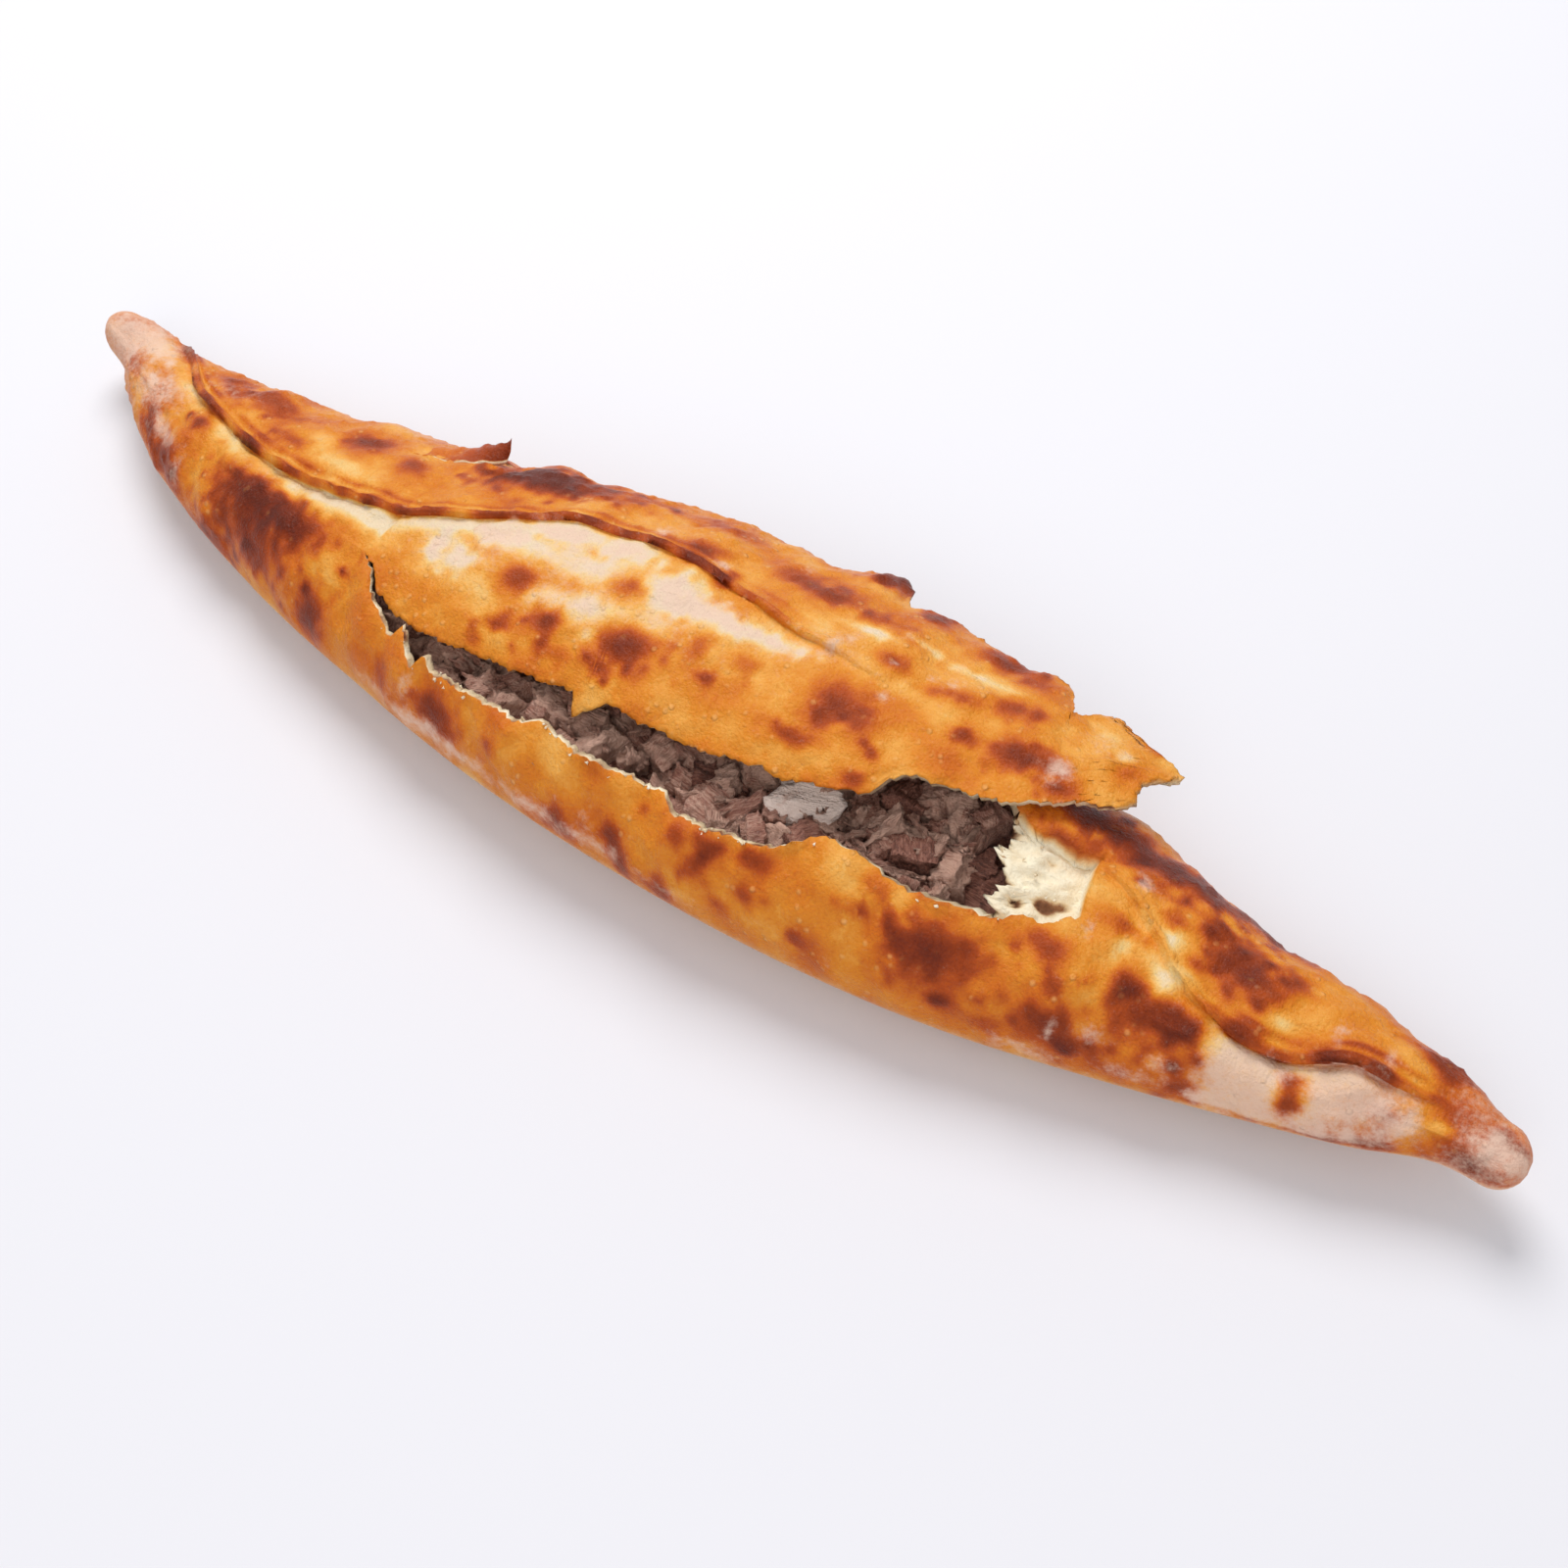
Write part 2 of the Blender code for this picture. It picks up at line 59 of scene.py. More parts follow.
# Marks on the crust. Each row: place along the loaf in mm, angle in degrees, reach along the loaf
# and across it in mm, strength.
BODY_BROWNED: Rows = (
    (-204, 59, 5.6, 3.7, 0.33), (-184, 45, 4.6, 5, 0.37), (-181, 27, 4.1, 3.2, 0.22),
    (-162, 73, 4.1, 2.4, 0.55), (-168, 27, 7.2, 6.5, 0.46), (-125, 50, 15.9, 9.2, 0.61),
    (-129, 55, 7.7, 3.8, 0.28), (-106, 55, 9.2, 4.7, 0.55), (-117, 25, 9.2, 4.2, 0.24),
    (-140, 1, 10.8, 5, 0.28), (-90, 15, 4.6, 7.6, 0.5), (-84, 48, 3.1, 1.6, 0.24),
    (-84, 36, 2.6, 1.4, 0.17), (-152, 112, 10.3, 4.5, 0.46), (-171, 122, 6.7, 3.7, 0.33),
    (-113, 113, 7.2, 3.9, 0.44), (-132, 94, 6.2, 2.4, 0.33), (-93, 106, 4.1, 3.4, 0.31),
    (-75, 90, 5.1, 4.1, 0.37), (-194, 127, 5.1, 3.1, 0.33), (-85, 145, 7.2, 3.7, 0.61),
    (-37, 17, 7.2, 4.3, 0.46), (-17, 22, 2.1, 1.8, 0.28), (-58, 17, 3.1, 4.3, 0.24),
    (7, 5, 4.6, 4.2, 0.37), (22, 14, 2.6, 3.3, 0.5), (26, -1, 3.1, 6.2, 0.5), (38, 0, 3.1, 5.6, 0.4),
    (39, 33, 2.6, 2.1, 0.29), (47, 33, 3.1, 2.7, 0.4), (46, 23, 3.1, 2.9, 0.29), (59, 37, 3.6, 2.2, 0.4),
    (59, 22, 3.1, 2.5, 0.35), (74, 13, 2.6, 2.6, 0.37), (28, 34, 1.5, 1.3, 0.22),
    (85, 50, 3.1, 1.8, 0.29), (83, 39, 2.6, 1.6, 0.22), (103, 37, 8.7, 6.2, 0.58),
    (95, 37, 3.6, 2.4, 0.33), (109, 14, 2.6, 2.4, 0.37), (125, 60, 4.6, 3.3, 0.43),
    (129, 45, 3.1, 2, 0.37), (118, 54, 1.5, 1.1, 0.22), (106, 62, 3.1, 1.4, 0.4), (131, 26, 5.1, 4, 0.51),
    (138, 16, 3.6, 3.1, 0.44), (150, 51, 8.2, 5.6, 0.58), (143, 60, 4.1, 2.7, 0.39),
    (158, 52, 3.6, 3, 0.39), (163, 8, 4.6, 3.9, 0.46), (137, 85, 4.6, 2, 0.46),
    (143, 101, 2.6, 2.3, 0.37), (159, 105, 6.2, 5.8, 0.58), (166, 95, 5.1, 3.9, 0.47),
    (151, 109, 4.1, 3.3, 0.33), (171, 112, 3.1, 2.9, 0.4), (152, 87, 2.1, 1.7, 0.28),
    (180, 49, 2.6, 1.7, 0.47), (183, 31, 2.6, 5.2, 0.46), (202, 43, 2.1, 1.7, 0.33),
    (191, -4, 5.6, 2.8, 0.33), (202, 1, 5.6, 3.1, 0.33), (203, 133, 4.6, 3.7, 0.47),
    (208, 130, 3.1, 4.4, 0.4), (185, 74, 3.6, 1.3, 0.44), (167, 68, 4.1, 1.3, 0.4),
    (192, 74, 2.1, 0.9, 0.46), (223, 90, 2.6, 2.3, 0.39), (222, 42, 1, 0.9, 0.47),
    (221, 12, 2.6, 2.6, 0.39), (226, 85, 2.1, 2.7, 0.22), (54, 9, 4.1, 2.1, 0.22),
    (121, 12, 6.7, 2.7, 0.22), (145, 8, 6.2, 3.1, 0.18), (-218, 89, 4.6, 2.8, 0.22),
    (-148, 80, 7.2, 2.1, -0.3), (-129, 77, 7.2, 2.3, -0.36), (-112, 77, 7.2, 2.4, -0.4),
    (-105, 76, 3.1, 1.9, -0.25), (-87, 75, 5.6, 2.7, -0.45), (-75, 71, 4.6, 2.8, -0.5),
    (-109, 91, 12.3, 2.4, -0.16), (-172, 92, 6.7, 2.1, -0.3), (139, 86, 1, 3.3, -0.2),
    (145, 91, 2.6, 2.6, -0.34), (150, 76, 4.1, 3.8, -0.3), (137, 78, 1.5, 5.3, -0.3),
    (148, 65, 2.1, 3.1, -0.24), (174, 82, 2.6, 2, -0.26), (177, 91, 4.1, 2, -0.1),
    (124, 93, 3.1, 2.6, -0.12), (212, 53, 2.6, 1.7, -0.3), (183, 31, 3, 5.5, 0.25), (-168, 27, 5, 5, 0.1),
    (108, 122, 8, 4.5, 0.6), (118, 124, 9, 4.2, 0.55), (128, 127, 9, 4.2, 0.55), (138, 131, 9, 4.6, 0.55),
    (148, 142, 8, 5, 0.5), (160, 158, 9, 4, 0.5), (112, 104, 8, 2.2, 0.3), (128, 113, 12, 3, 0.25),
)
LID_BROWNED: Rows = (
    (-38, 69, 5.5, 4.5, 0.68), (-10, 82, 5.1, 3.8, 0.61), (-23, 59, 4, 4, 0.61), (-1, 62, 7.3, 4.7, 0.73),
    (-34, 51, 4.4, 2, 0.46), (-3, 50, 4, 1.9, 0.44), (-38, 42, 2.2, 1.7, 0.24), (21, 62, 2.2, 1.7, 0.46),
    (27, 72, 3.3, 2.4, 0.31), (15, 72, 2.6, 3.8, 0.29), (-25, 76, 7.3, 3.4, 0.15),
    (-49, 68, 2.6, 1.6, 0.22), (-60, 82, 2.9, 1.8, 0.13), (-17, 49, 8.4, 1.8, 0.22),
    (6, 99, 2.2, 3.1, 0.5), (51, 72, 5.1, 5.3, 0.46), (52, 64, 2.9, 2.9, 0.28), (48, 54, 5.5, 1.9, 0.37),
    (59, 69, 4.8, 3.3, 0.26), (66, 58, 1.5, 1.3, 0.26), (66, 48, 2.2, 1.9, 0.37), (55, 95, 4.4, 3.1, 0.4),
    (67, 91, 2.6, 2.3, 0.29), (74, 92, 2.6, 2.3, 0.24), (84, 99, 4.4, 3.2, 0.4),
    (90, 100, 2.2, 2.2, 0.22), (80, 79, 2.9, 2.7, 0.48), (92, 78, 5.5, 4.1, 0.4),
    (99, 81, 5.1, 3.6, 0.33), (105, 73, 2.9, 1.9, 0.33), (116, 118, 2.6, 2.9, 0.33),
    (114, 93, 2.9, 2.5, 0.15), (30, 65, 3.3, 2.1, 0.15), (-60, 123, 15, 6.2, 1), (-5, 108, 5.5, 2.5, 0.4),
    (18, 115, 4.8, 3.9, 0.37), (30, 114, 7.7, 3.5, 0.48), (41, 111, 3.3, 3.3, 0.4),
    (35, 152, 4.8, 4.3, 0.88), (32, 139, 5.1, 3.1, 0.55), (51, 132, 3.3, 5, 0.61),
    (1, 152, 6.2, 3.1, 0.22), (-6, 127, 11.4, 3.1, 0.25), (-25, 131, 13.2, 3.1, 0.17),
    (73, 123, 6.6, 3.7, 0.46), (83, 118, 3.7, 2.7, 0.22), (-45, 131, 9.5, 3.7, 0.15),
    (-65, 75, 2.9, 2.4, -0.5), (-52, 84, 6.2, 3.1, -0.5), (-37, 94, 7.7, 3.3, -0.5),
    (-21, 96, 4.8, 3.9, -0.5), (-25, 84, 18, 5, -0.3), (-27, 67, 15.1, 3.8, -0.26),
    (-56, 70, 7, 2.9, -0.34), (-3, 86, 6.6, 4.9, -0.46), (9, 84, 8.4, 3.1, -0.46),
    (-16, 69, 5.1, 3.2, -0.2), (2, 72, 4, 3.3, -0.2), (-11, 59, 2.2, 3, -0.2), (21, 83, 8.1, 2.3, -0.3),
    (31, 84, 5.5, 2.5, -0.26), (39, 93, 11, 5.2, -0.16), (55, 87, 14, 3.6, -0.1),
    (74, 102, 10.3, 4, -0.1), (45, 104, 5.5, 1.8, -0.34), (56, 109, 5.9, 1.2, -0.26),
    (73, 107, 7.7, 1.3, -0.2), (-26, 115, 21.3, 4.4, -0.1), (-12, 111, 6.6, 3.1, -0.1),
    (2, 106, 4, 1.8, -0.2), (106, 102, 5.9, 4.3, -0.22), (112, 100, 2.2, 2.1, -0.2),
    (9, 127, 9.2, 3.7, -0.05),
)
BODY_FLOURED: Rows = (
    (-217, 64, 6.2, 3.8, 0.7), (-204, 102, 8.2, 4.4, 0.8), (-191, 58, 6.2, 2.3, 0.5),
    (-183, 75, 7.2, 5, 0.7), (-173, 45, 8.2, 2.6, 0.75), (-160, 25, 2.1, 4.8, 0.6),
    (-164, 108, 10.3, 2.5, 0.35), (-108, 146, 8.7, 3.1, 0.6), (-48, 23, 2.1, 2.9, 0.6),
    (14, 16, 1.5, 5.5, 0.35), (83, 8, 1, 1.4, 0.4), (133, 21, 1, 2.8, 0.7), (141, 28, 3.1, 2.4, 0.6),
    (129, 77, 1.5, 2.3, 0.55), (133, 108, 2.1, 2.6, 0.75), (156, 25, 2.6, 1.8, 0.6),
    (173, 35, 6.2, 4.6, 0.9), (192, 48, 7.7, 5.3, 0.85), (170, 2, 4.6, 2.2, 0.8),
    (182, 7, 11.8, 3.8, 0.6), (206, 41, 3.1, 2.6, 0.7), (185, 96, 1.5, 2.6, 0.6),
    (196, 94, 1.5, 3.3, 0.6), (223, 62, 5.1, 3.5, 0.6), (228, 59, 3.1, 2.1, 0.6), (151, 9, 6.2, 2.1, 0.5),
    (132, -2, 4.6, 2.4, 0.5), (124, 0, 4.1, 2.1, 0.4), (-62, 4, 9, 2, 0.45), (-42, 3, 13, 3, 0.95),
    (-22, 2, 9, 2, 0.5), (-2, 3, 9, 2.6, 0.8), (18, 2, 9, 2.2, 0.6), (40, 2, 8, 1.8, 0.35),
    (183, 31, 3.4, 6, -1.1), (212, 50, 4, 5, -0.3),
)
LID_FLOURED: Rows = (
    (102, 81, 2.9, 3.1, 0.85), (59, 81, 1.5, 1.5, 0.7), (64, 97, 1.5, 1.3, 0.55), (69, 97, 2.2, 2, 0.45),
    (43, 97, 1.1, 2.7, 0.5), (41, 90, 1.1, 2.1, 0.45), (17, 125, 1.8, 2.5, 0.5),
    (-18, 110, 2.2, 2.7, 0.7), (2, 105, 2.2, 1.5, 0.6), (55, 94, 1.8, 0.9, 0.5), (31, 83, 6.6, 1.7, 0.3),
    (10, 87, 8.1, 2.5, 0.3), (108, 67, 2.6, 1.1, 0.5),
)
# Dents sunk into the crust; on the peeled crumb shelf they also carry painted shade that darkens the holes.
BODY_DENTED: Rows = (
    (-105, 76, 3.2, 2.4, 0.9), (-87, 75, 4.2, 2.6, 1.1), (-75, 70, 4, 2.6, 1.2), (-96, 77, 2.5, 2, 0.5),
    (184, 52, 5, 3.5, 1), (196, 50, 5, 3, 0.7), (112, 72, 1.8, 1.6, 1.8), (117, 77, 2.4, 2, 1.8),
    (121, 82, 2, 1.6, 1.2), (113, 96, 1.4, 1.2, 1.2), (107, 88, 1.8, 1.2, 0.6), (-190, 100, 6, 3, 0.4),
    (137, 78, 1.6, 6, 0.7),
)
LID_DENTED: Rows = (
    (-65, 76, 3, 2.2, 1), (-52, 85, 4, 2.4, 1), (-37, 94, 4, 2.2, 0.9), (-21, 95, 4, 2.6, 1),
    (5, 90, 6, 1.4, 0.6), (18, 86, 8, 1, 0.6), (30, 84, 6, 1, 0.4), (34, 152, 6, 8, -3),
)


class Sheet(Enum):
    """The two sheets of crust that show on the outside."""

    BODY = "body"
    LID = "lid"


def through(knots: Knots, x: np.ndarray) -> np.ndarray:
    """Smooth curve through knots.

    Args:
        knots: Pairs of place and value, places rising.
        x: Places to read the curve at.

    Returns:
        The value at each place, held level beyond both ends.
    """
    at = np.array([knot[0] for knot in knots])
    value = np.array([knot[1] for knot in knots], float)
    slope = np.gradient(value, at)
    x = np.clip(x, at[0], at[-1])
    i = np.clip(np.searchsorted(at, x) - 1, 0, len(at) - 2)
    span = at[i + 1] - at[i]
    t = (x - at[i]) / span
    rise = t * t * (3 - 2 * t)
    start = t * (1 - t) ** 2 * span * slope[i]
    stop = t * t * (t - 1) * span * slope[i + 1]
    return value[i] + (value[i + 1] - value[i]) * rise + start + stop


def straight(knots: Knots, x: np.ndarray) -> np.ndarray:
    """Value at x on the straight lines between knots given in mm and degrees."""
    table = np.array(knots, float)
    return np.interp(x / MM, table[:, 0], table[:, 1])


def smooth(low: float, high: float, x: np.ndarray) -> np.ndarray:
    """0 below low, 1 above high, and an even rise between."""
    t = np.clip((x - low) / (high - low), 0, 1)
    return t * t * (3 - 2 * t)


def bell(x: np.ndarray, centre: float, width: float) -> np.ndarray:
    """1 at a centre, falling away evenly to both sides."""
    return np.exp(-(((x - centre) / width) ** 2))


def store(mesh: bpy.types.Mesh, name: str, values: np.ndarray) -> None:
    """Stores a number or a vector for every vertex of a mesh.

    Args:
        mesh: The mesh.
        name: Name of the attribute.
        values: One row for each vertex.
    """
    kind, key = ("FLOAT", "value") if values.ndim == 1 else ("FLOAT_VECTOR", "vector")
    layer = mesh.attributes.new(name, kind, "POINT")
    layer.data.foreach_set(key, np.ascontiguousarray(values, np.float32).reshape(-1))


def in_scene(name: str, data: bpy.types.ID) -> bpy.types.Object:
    """A new object in the scene, at the origin."""
    made = bpy.data.objects.new(name, data)
    bpy.context.scene.collection.objects.link(made)
    return made


class Waves:
    """An even, seeded field of soft bumps about zero, made of plane waves."""

    def __init__(self, seed: int, wavelength: float, count: int = 28) -> None:
        """Draws the waves.

        Args:
            seed: Seed of the draw.
            wavelength: Typical distance between two bumps, in metres.
            count: How many waves are laid over each other.
        """
        draw = np.random.default_rng(seed)
        headings = draw.normal(size=(count, 3))
        headings /= np.linalg.norm(headings, axis=1, keepdims=True)
        lengths = wavelength * draw.uniform(0.7, 1.4, size=(count, 1))
        self.pull = headings * 2 * math.pi / lengths
        self.phase = draw.uniform(0, 2 * math.pi, size=count)
        self.share = math.sqrt(2 / count)

    def at(self, points: np.ndarray) -> np.ndarray:
        """Height of the field at points, about -2 to 2."""
        return np.cos(points @ self.pull.T + self.phase).sum(axis=-1) * self.share


@dataclass(frozen=True)
class LoafForm:
    """Plan, sections, seam, tear and hollow of the whole loaf."""

    tip: float = 0.231
    plan: Rows = (
        (-0.231, -0.0010, 0.0110), (-0.214, -0.0062, 0.0108), (-0.200, -0.0152, 0.0100),
        (-0.180, -0.0260, 0.0107), (-0.150, -0.0358, 0.0147), (-0.115, -0.0438, 0.0217),
        (-0.075, -0.0502, 0.0285), (-0.030, -0.0556, 0.0325), (0.020, -0.0562, 0.0335),
        (0.070, -0.0518, 0.0325), (0.110, -0.0436, 0.0285), (0.145, -0.0328, 0.0215),
        (0.175, -0.0230, 0.0172), (0.198, -0.0150, 0.0146), (0.214, -0.0078, 0.0106),
        (0.231, -0.0078, 0.0058),
    )
    shift: float = 0.00487
    height_per_half_width: float = 0.95
    least_height: float = 0.0045
    end_rise: float = 0.013
    flat_half_length: float = 0.090
    nub_round: float = 0.007
    belly_share: float = 0.42
    belly_squareness: float = 2.7
    flat_overreach: float = 1.06
    seam: Knots = (
        (-0.214, 150), (-0.200, 138), (-0.188, 115), (-0.176, 96), (-0.155, 83), (-0.082, 83),
        (-0.057, 92), (-0.035, 102), (-0.005, 101), (0.036, 90), (0.100, 87), (0.124, 104),
        (0.138, 93), (0.150, 76), (0.167, 62), (0.178, 62), (0.190, 77), (0.204, 76), (0.218, 80),
    )
    seam_lip: float = 0.0014
    lip_fade: float = 0.14
    tear_left: float = -0.082
    tear_right: float = 0.100
    tear_slant: float = 0.009
    peel_right: float = 0.122
    peel_depth: float = 0.0034
    lid_right: float = 0.122
    lid_swing: Knots = (
        (-0.092, 0.0), (-0.082, 0.0), (-0.066, 0.0030), (-0.040, 0.0085), (0.000, 0.0145),
        (0.040, 0.0190), (0.080, 0.0240), (0.122, 0.0300),
    )
    lid_lift: float = 0.0024
    lid_roll: float = math.radians(9)
    swing_ease: float = 0.012
    wall: float = 0.0031
    lid_wall: float = 0.0028
    torn_edge: float = 0.0019
    floor: float = 0.0050
    hollow_left: float = -0.150
    hollow_right: float = 0.124
    hollow_bluntness: int = 10

    def sizes(self, x: np.ndarray) -> tuple[np.ndarray, ...]:
        """Middle line, half width, lowest and highest level of the loaf at x."""
        near = through(tuple((row[0], row[1]) for row in self.plan), x)
        far = through(tuple((row[0], row[2]) for row in self.plan), x)
        half = (far - near) / 2
        past = (np.abs(x) - self.flat_half_length) / (self.tip - self.flat_half_length)
        rise = self.end_rise * np.clip(past, 0, 1) ** 1.7
        top = rise + self.height_per_half_width * half + self.least_height
        into_nub = np.clip((self.tip - np.abs(x)) / self.nub_round, 0, 1)
        closing = np.sqrt(into_nub * (2 - into_nub))
        middle = (rise + top) / 2
        low = middle + (rise - middle) * closing
        high = middle + (top - middle) * closing
        return (near + far) / 2 + self.shift, half * closing, low, high

    def ring(self, x: np.ndarray, degrees: np.ndarray, sizes: tuple[np.ndarray, ...]) -> np.ndarray:
        """Points on a loaf section.

        Args:
            x: Place along the loaf.
            degrees: Angle round the section.
            sizes: Middle line, half width, lowest and highest level of the section.

        Returns:
            Points, their last axis of three.
        """
        centre, half, low, high = sizes
        turn = np.radians(degrees)
        across, up = np.cos(turn), np.sin(turn)
        belt = low + self.belly_share * (high - low)
        power = 2 / self.belly_squareness
        crown = belt + (high - belt) * np.maximum(up, 0)
        sunk = np.minimum(self.flat_overreach * np.maximum(-up, 0) ** power, 1)
        belly = belt - (belt - low) * sunk
        side = np.where(up < 0, np.sign(across) * np.abs(across) ** power, across)
        level = np.where(up < 0, belly, crown)
        return np.stack(np.broadcast_arrays(x, centre - half * side, level), -1)

    def lumps(self, x: np.ndarray, degrees: np.ndarray) -> np.ndarray:
        """The uneven swell of the baked dough, nothing on the underside."""
        turn = np.radians(degrees)
        swell = 0.5 * np.sin(127 * x + 1.3 * turn) + 0.4 * np.sin(211 * x - 2.1 * turn + 1.0)
        swell += 0.3 * np.sin(341 * x + 3.4 * turn + 2.2)
        return 0.0009 * swell * smooth(-0.35, 0.25, np.sin(turn))

    def seam_shown(self, x: np.ndarray) -> np.ndarray:
        """1 where the lapped seam shows along the loaf, 0 where the skin is whole."""
        ends = smooth(-0.212, -0.200, x) * (1 - smooth(0.206, 0.216, x))
        hidden = smooth(0.040, 0.060, x) * (1 - smooth(0.122, 0.132, x))
        return ends * (1 - hidden)

    def seam_relief(self, x: np.ndarray, degrees: np.ndarray) -> np.ndarray:
        """Height of the lapped edge: a step up at the seam that fades towards the far side."""
        past = np.radians(degrees - through(self.seam, x))
        lip = np.where(past >= 0, np.exp(-np.maximum(past, 0) / self.lip_fade), 0)
        return self.seam_lip * lip * self.seam_shown(x)

    def slanted(self, x: np.ndarray, degrees: np.ndarray) -> np.ndarray:
        """Place of a section's point: the right end of the tear reaches further on the near side."""
        near_side = 1 - smooth(60, 110, np.abs((degrees + 180) % 360 - 180))
        by_the_end = smooth(self.tear_right - 0.03, self.tear_right, x)
        by_the_end = by_the_end * (1 - smooth(self.tear_right, 0.160, x))
        return x + self.tear_slant * near_side * by_the_end

    def outer(self, x: np.ndarray, degrees: np.ndarray, sunk: np.ndarray | float = 0.0) -> np.ndarray:
        """Points on the baked outside of the crust, sunk in where the surface is peeled away."""
        centre, half, low, high = self.sizes(x)
        room = np.minimum(half / 0.02, 1)
        out = (self.lumps(x, degrees) + self.seam_relief(x, degrees)) * room - sunk
        lift = smooth(-0.2, 0.3, np.sin(np.radians(degrees)))
        return self.ring(x, degrees, (centre, half + out, low, high + out * lift))

    def normal(self, x: np.ndarray, degrees: np.ndarray) -> np.ndarray:
        """Directions straight out of the crust."""
        step, turn = 0.0004, 0.6
        along = self.outer(x + step, degrees) - self.outer(x - step, degrees)
        around = self.outer(x, degrees + turn) - self.outer(x, degrees - turn)
        normal = np.cross(along, around)
        return normal / (np.linalg.norm(normal, axis=-1, keepdims=True) + 1e-12)

    def hollow(self, x: np.ndarray, wall: np.ndarray | float) -> tuple[np.ndarray, ...]:
        """Middle line, half width, lowest and highest level of the hollow at x."""
        centre, half, low, high = self.sizes(x)
        middle_x = (self.hollow_left + self.hollow_right) / 2
        reach = np.clip(np.abs(x - middle_x) / (self.hollow_right - middle_x), 0, 1)
        closing = np.sqrt(1 - reach**self.hollow_bluntness)
        middle = (low + high) / 2
        lowest = middle + (low + self.floor - middle) * closing
        return centre, (half - wall) * closing, lowest, middle + (high - wall - middle) * closing

    def swung(self, points: np.ndarray) -> np.ndarray:
        """Points of the lid after it has been pulled to the far side, growing from its root."""
        x = points[..., 0]
        run = np.maximum(x - self.tear_left, 0)
        run = run * run / (run + self.swing_ease)
        share = run / (self.lid_right - self.tear_left)
        centre, _, _, high = self.sizes(x)
        roll = self.lid_roll * share
        across = points[..., 1] - centre
        below = points[..., 2] - high
        moved = np.array(points)
        sideways = centre + through(self.lid_swing, x)
        moved[..., 1] = sideways + across * np.cos(roll) + below * np.sin(roll)
        moved[..., 2] = high + self.lid_lift * share - across * np.sin(roll) + below * np.cos(roll)
        return moved

    def arc(self, x: np.ndarray, degrees: np.ndarray) -> np.ndarray:
        """Length in mm of one radian of the section, at x and an angle."""
        _, half, low, high = self.sizes(x)
        turn = np.radians(degrees)
        crown = (1 - self.belly_share) * (high - low)
        return np.sqrt((half * np.sin(turn)) ** 2 + (crown * np.cos(turn)) ** 2) / MM + 0.01


@dataclass
class Skin:
    """A sheet of surface points with what the baking did to each of them."""

    points: np.ndarray
    bake: np.ndarray
    flour: np.ndarray
    crumb: np.ndarray


class Shell:
    """Vertices and faces of one closed skin, gathered sheet by sheet."""

    def __init__(self) -> None:
        """Starts with nothing."""
        self.points: list[np.ndarray] = []
        self.looks: list[np.ndarray] = []
        self.faces: list[list[int]] = []
        self.count = 0

    def add(self, skin: Skin) -> np.ndarray:
        """Adds the points of a skin.

        Args:
            skin: The sheet, its arrays all of one shape.

        Returns:
            The vertex indices, in the shape of the sheet.
        """
        shape = skin.bake.shape
        total = int(np.prod(shape))
        self.points.append(skin.points.reshape(-1, 3))
        looks = [np.broadcast_to(look, shape).reshape(-1) for look in (skin.bake, skin.flour, skin.crumb)]
        self.looks.append(np.stack(looks, -1))
        indices = np.arange(self.count, self.count + total).reshape(shape)
        self.count += total
        return indices

    def bridge(self, a: np.ndarray, b: np.ndarray) -> None:
        """Quads between two rows of one length, facing to the left of a towards b."""
        self.faces += np.stack([a[:-1], a[1:], b[1:], b[:-1]], -1).tolist()

    def grid(self, rows: np.ndarray, outside: bool) -> None:
        """Quads over a grid of vertices whose rows follow the loaf.

        Args:
            rows: Vertex indices, one row for each section.
            outside: True for a skin that faces out of the loaf, False for the wall of its hollow.
        """
        for a, b in zip(rows[:-1], rows[1:]):
            if outside:
                self.bridge(b, a)
            else:
                self.bridge(a, b)

    def fan(self, centre: int, row: np.ndarray, turned: bool) -> None:
        """Triangles from a vertex to each side of a row."""
        for first, second in zip(row[:-1].tolist(), row[1:].tolist()):
            self.faces.append([centre, second, first] if turned else [centre, first, second])

    def zip_rows(self, a: np.ndarray, b: np.ndarray, turned: bool) -> None:
        """Triangles between two rows of any length that run side by side.

        Args:
            a: First row of vertex indices.
            b: Second row.
            turned: True to face the triangles the other way.
        """
        i = j = 0
        while i < len(a) - 1 or j < len(b) - 1:
            ahead = (i + 1) / (len(a) - 1) <= (j + 1) / (len(b) - 1)
            if j == len(b) - 1 or (i < len(a) - 1 and ahead):
                face = [int(a[i]), int(a[i + 1]), int(b[j])]
                i += 1
            else:
                face = [int(a[i]), int(b[j + 1]), int(b[j])]
                j += 1
            self.faces.append(face[::-1] if turned else face)

    def close_gaps(self) -> None:
        """Adds a face over each small gap left where the torn edges end."""
        halves = {pair for face in self.faces for pair in zip(face, (*face[1:], face[0]))}
        after = {end: start for start, end in halves if (end, start) not in halves}
        while after:
            first, corner = after.popitem()
            gap = [first]
            while corner != first:
                gap.append(corner)
                corner = after.pop(corner)
            self.faces.append(gap)

    def mesh(self, name: str) -> bpy.types.Mesh:
        """The gathered skin as a mesh with its bake, flour and crumb as attributes."""
        made = bpy.data.meshes.new(name)
        used = np.zeros(self.count, bool)
        used[[corner for face in self.faces for corner in face]] = True
        fresh = np.cumsum(used) - 1
        faces = [[int(fresh[corner]) for corner in face] for face in self.faces]
        made.from_pydata(np.concatenate(self.points)[used].tolist(), [], faces)
        looks = np.concatenate(self.looks)[used]
        for column, look in enumerate(("bake", "flour", "crumb")):
            store(made, look, looks[:, column])
        made.shade_smooth()
        made.update()
        return made


def turned_by(degrees: np.ndarray, start: np.ndarray | float) -> np.ndarray:
    """Shortest turn in degrees from a start angle, between -180 and 180."""
    return (degrees - start + 180) % 360 - 180


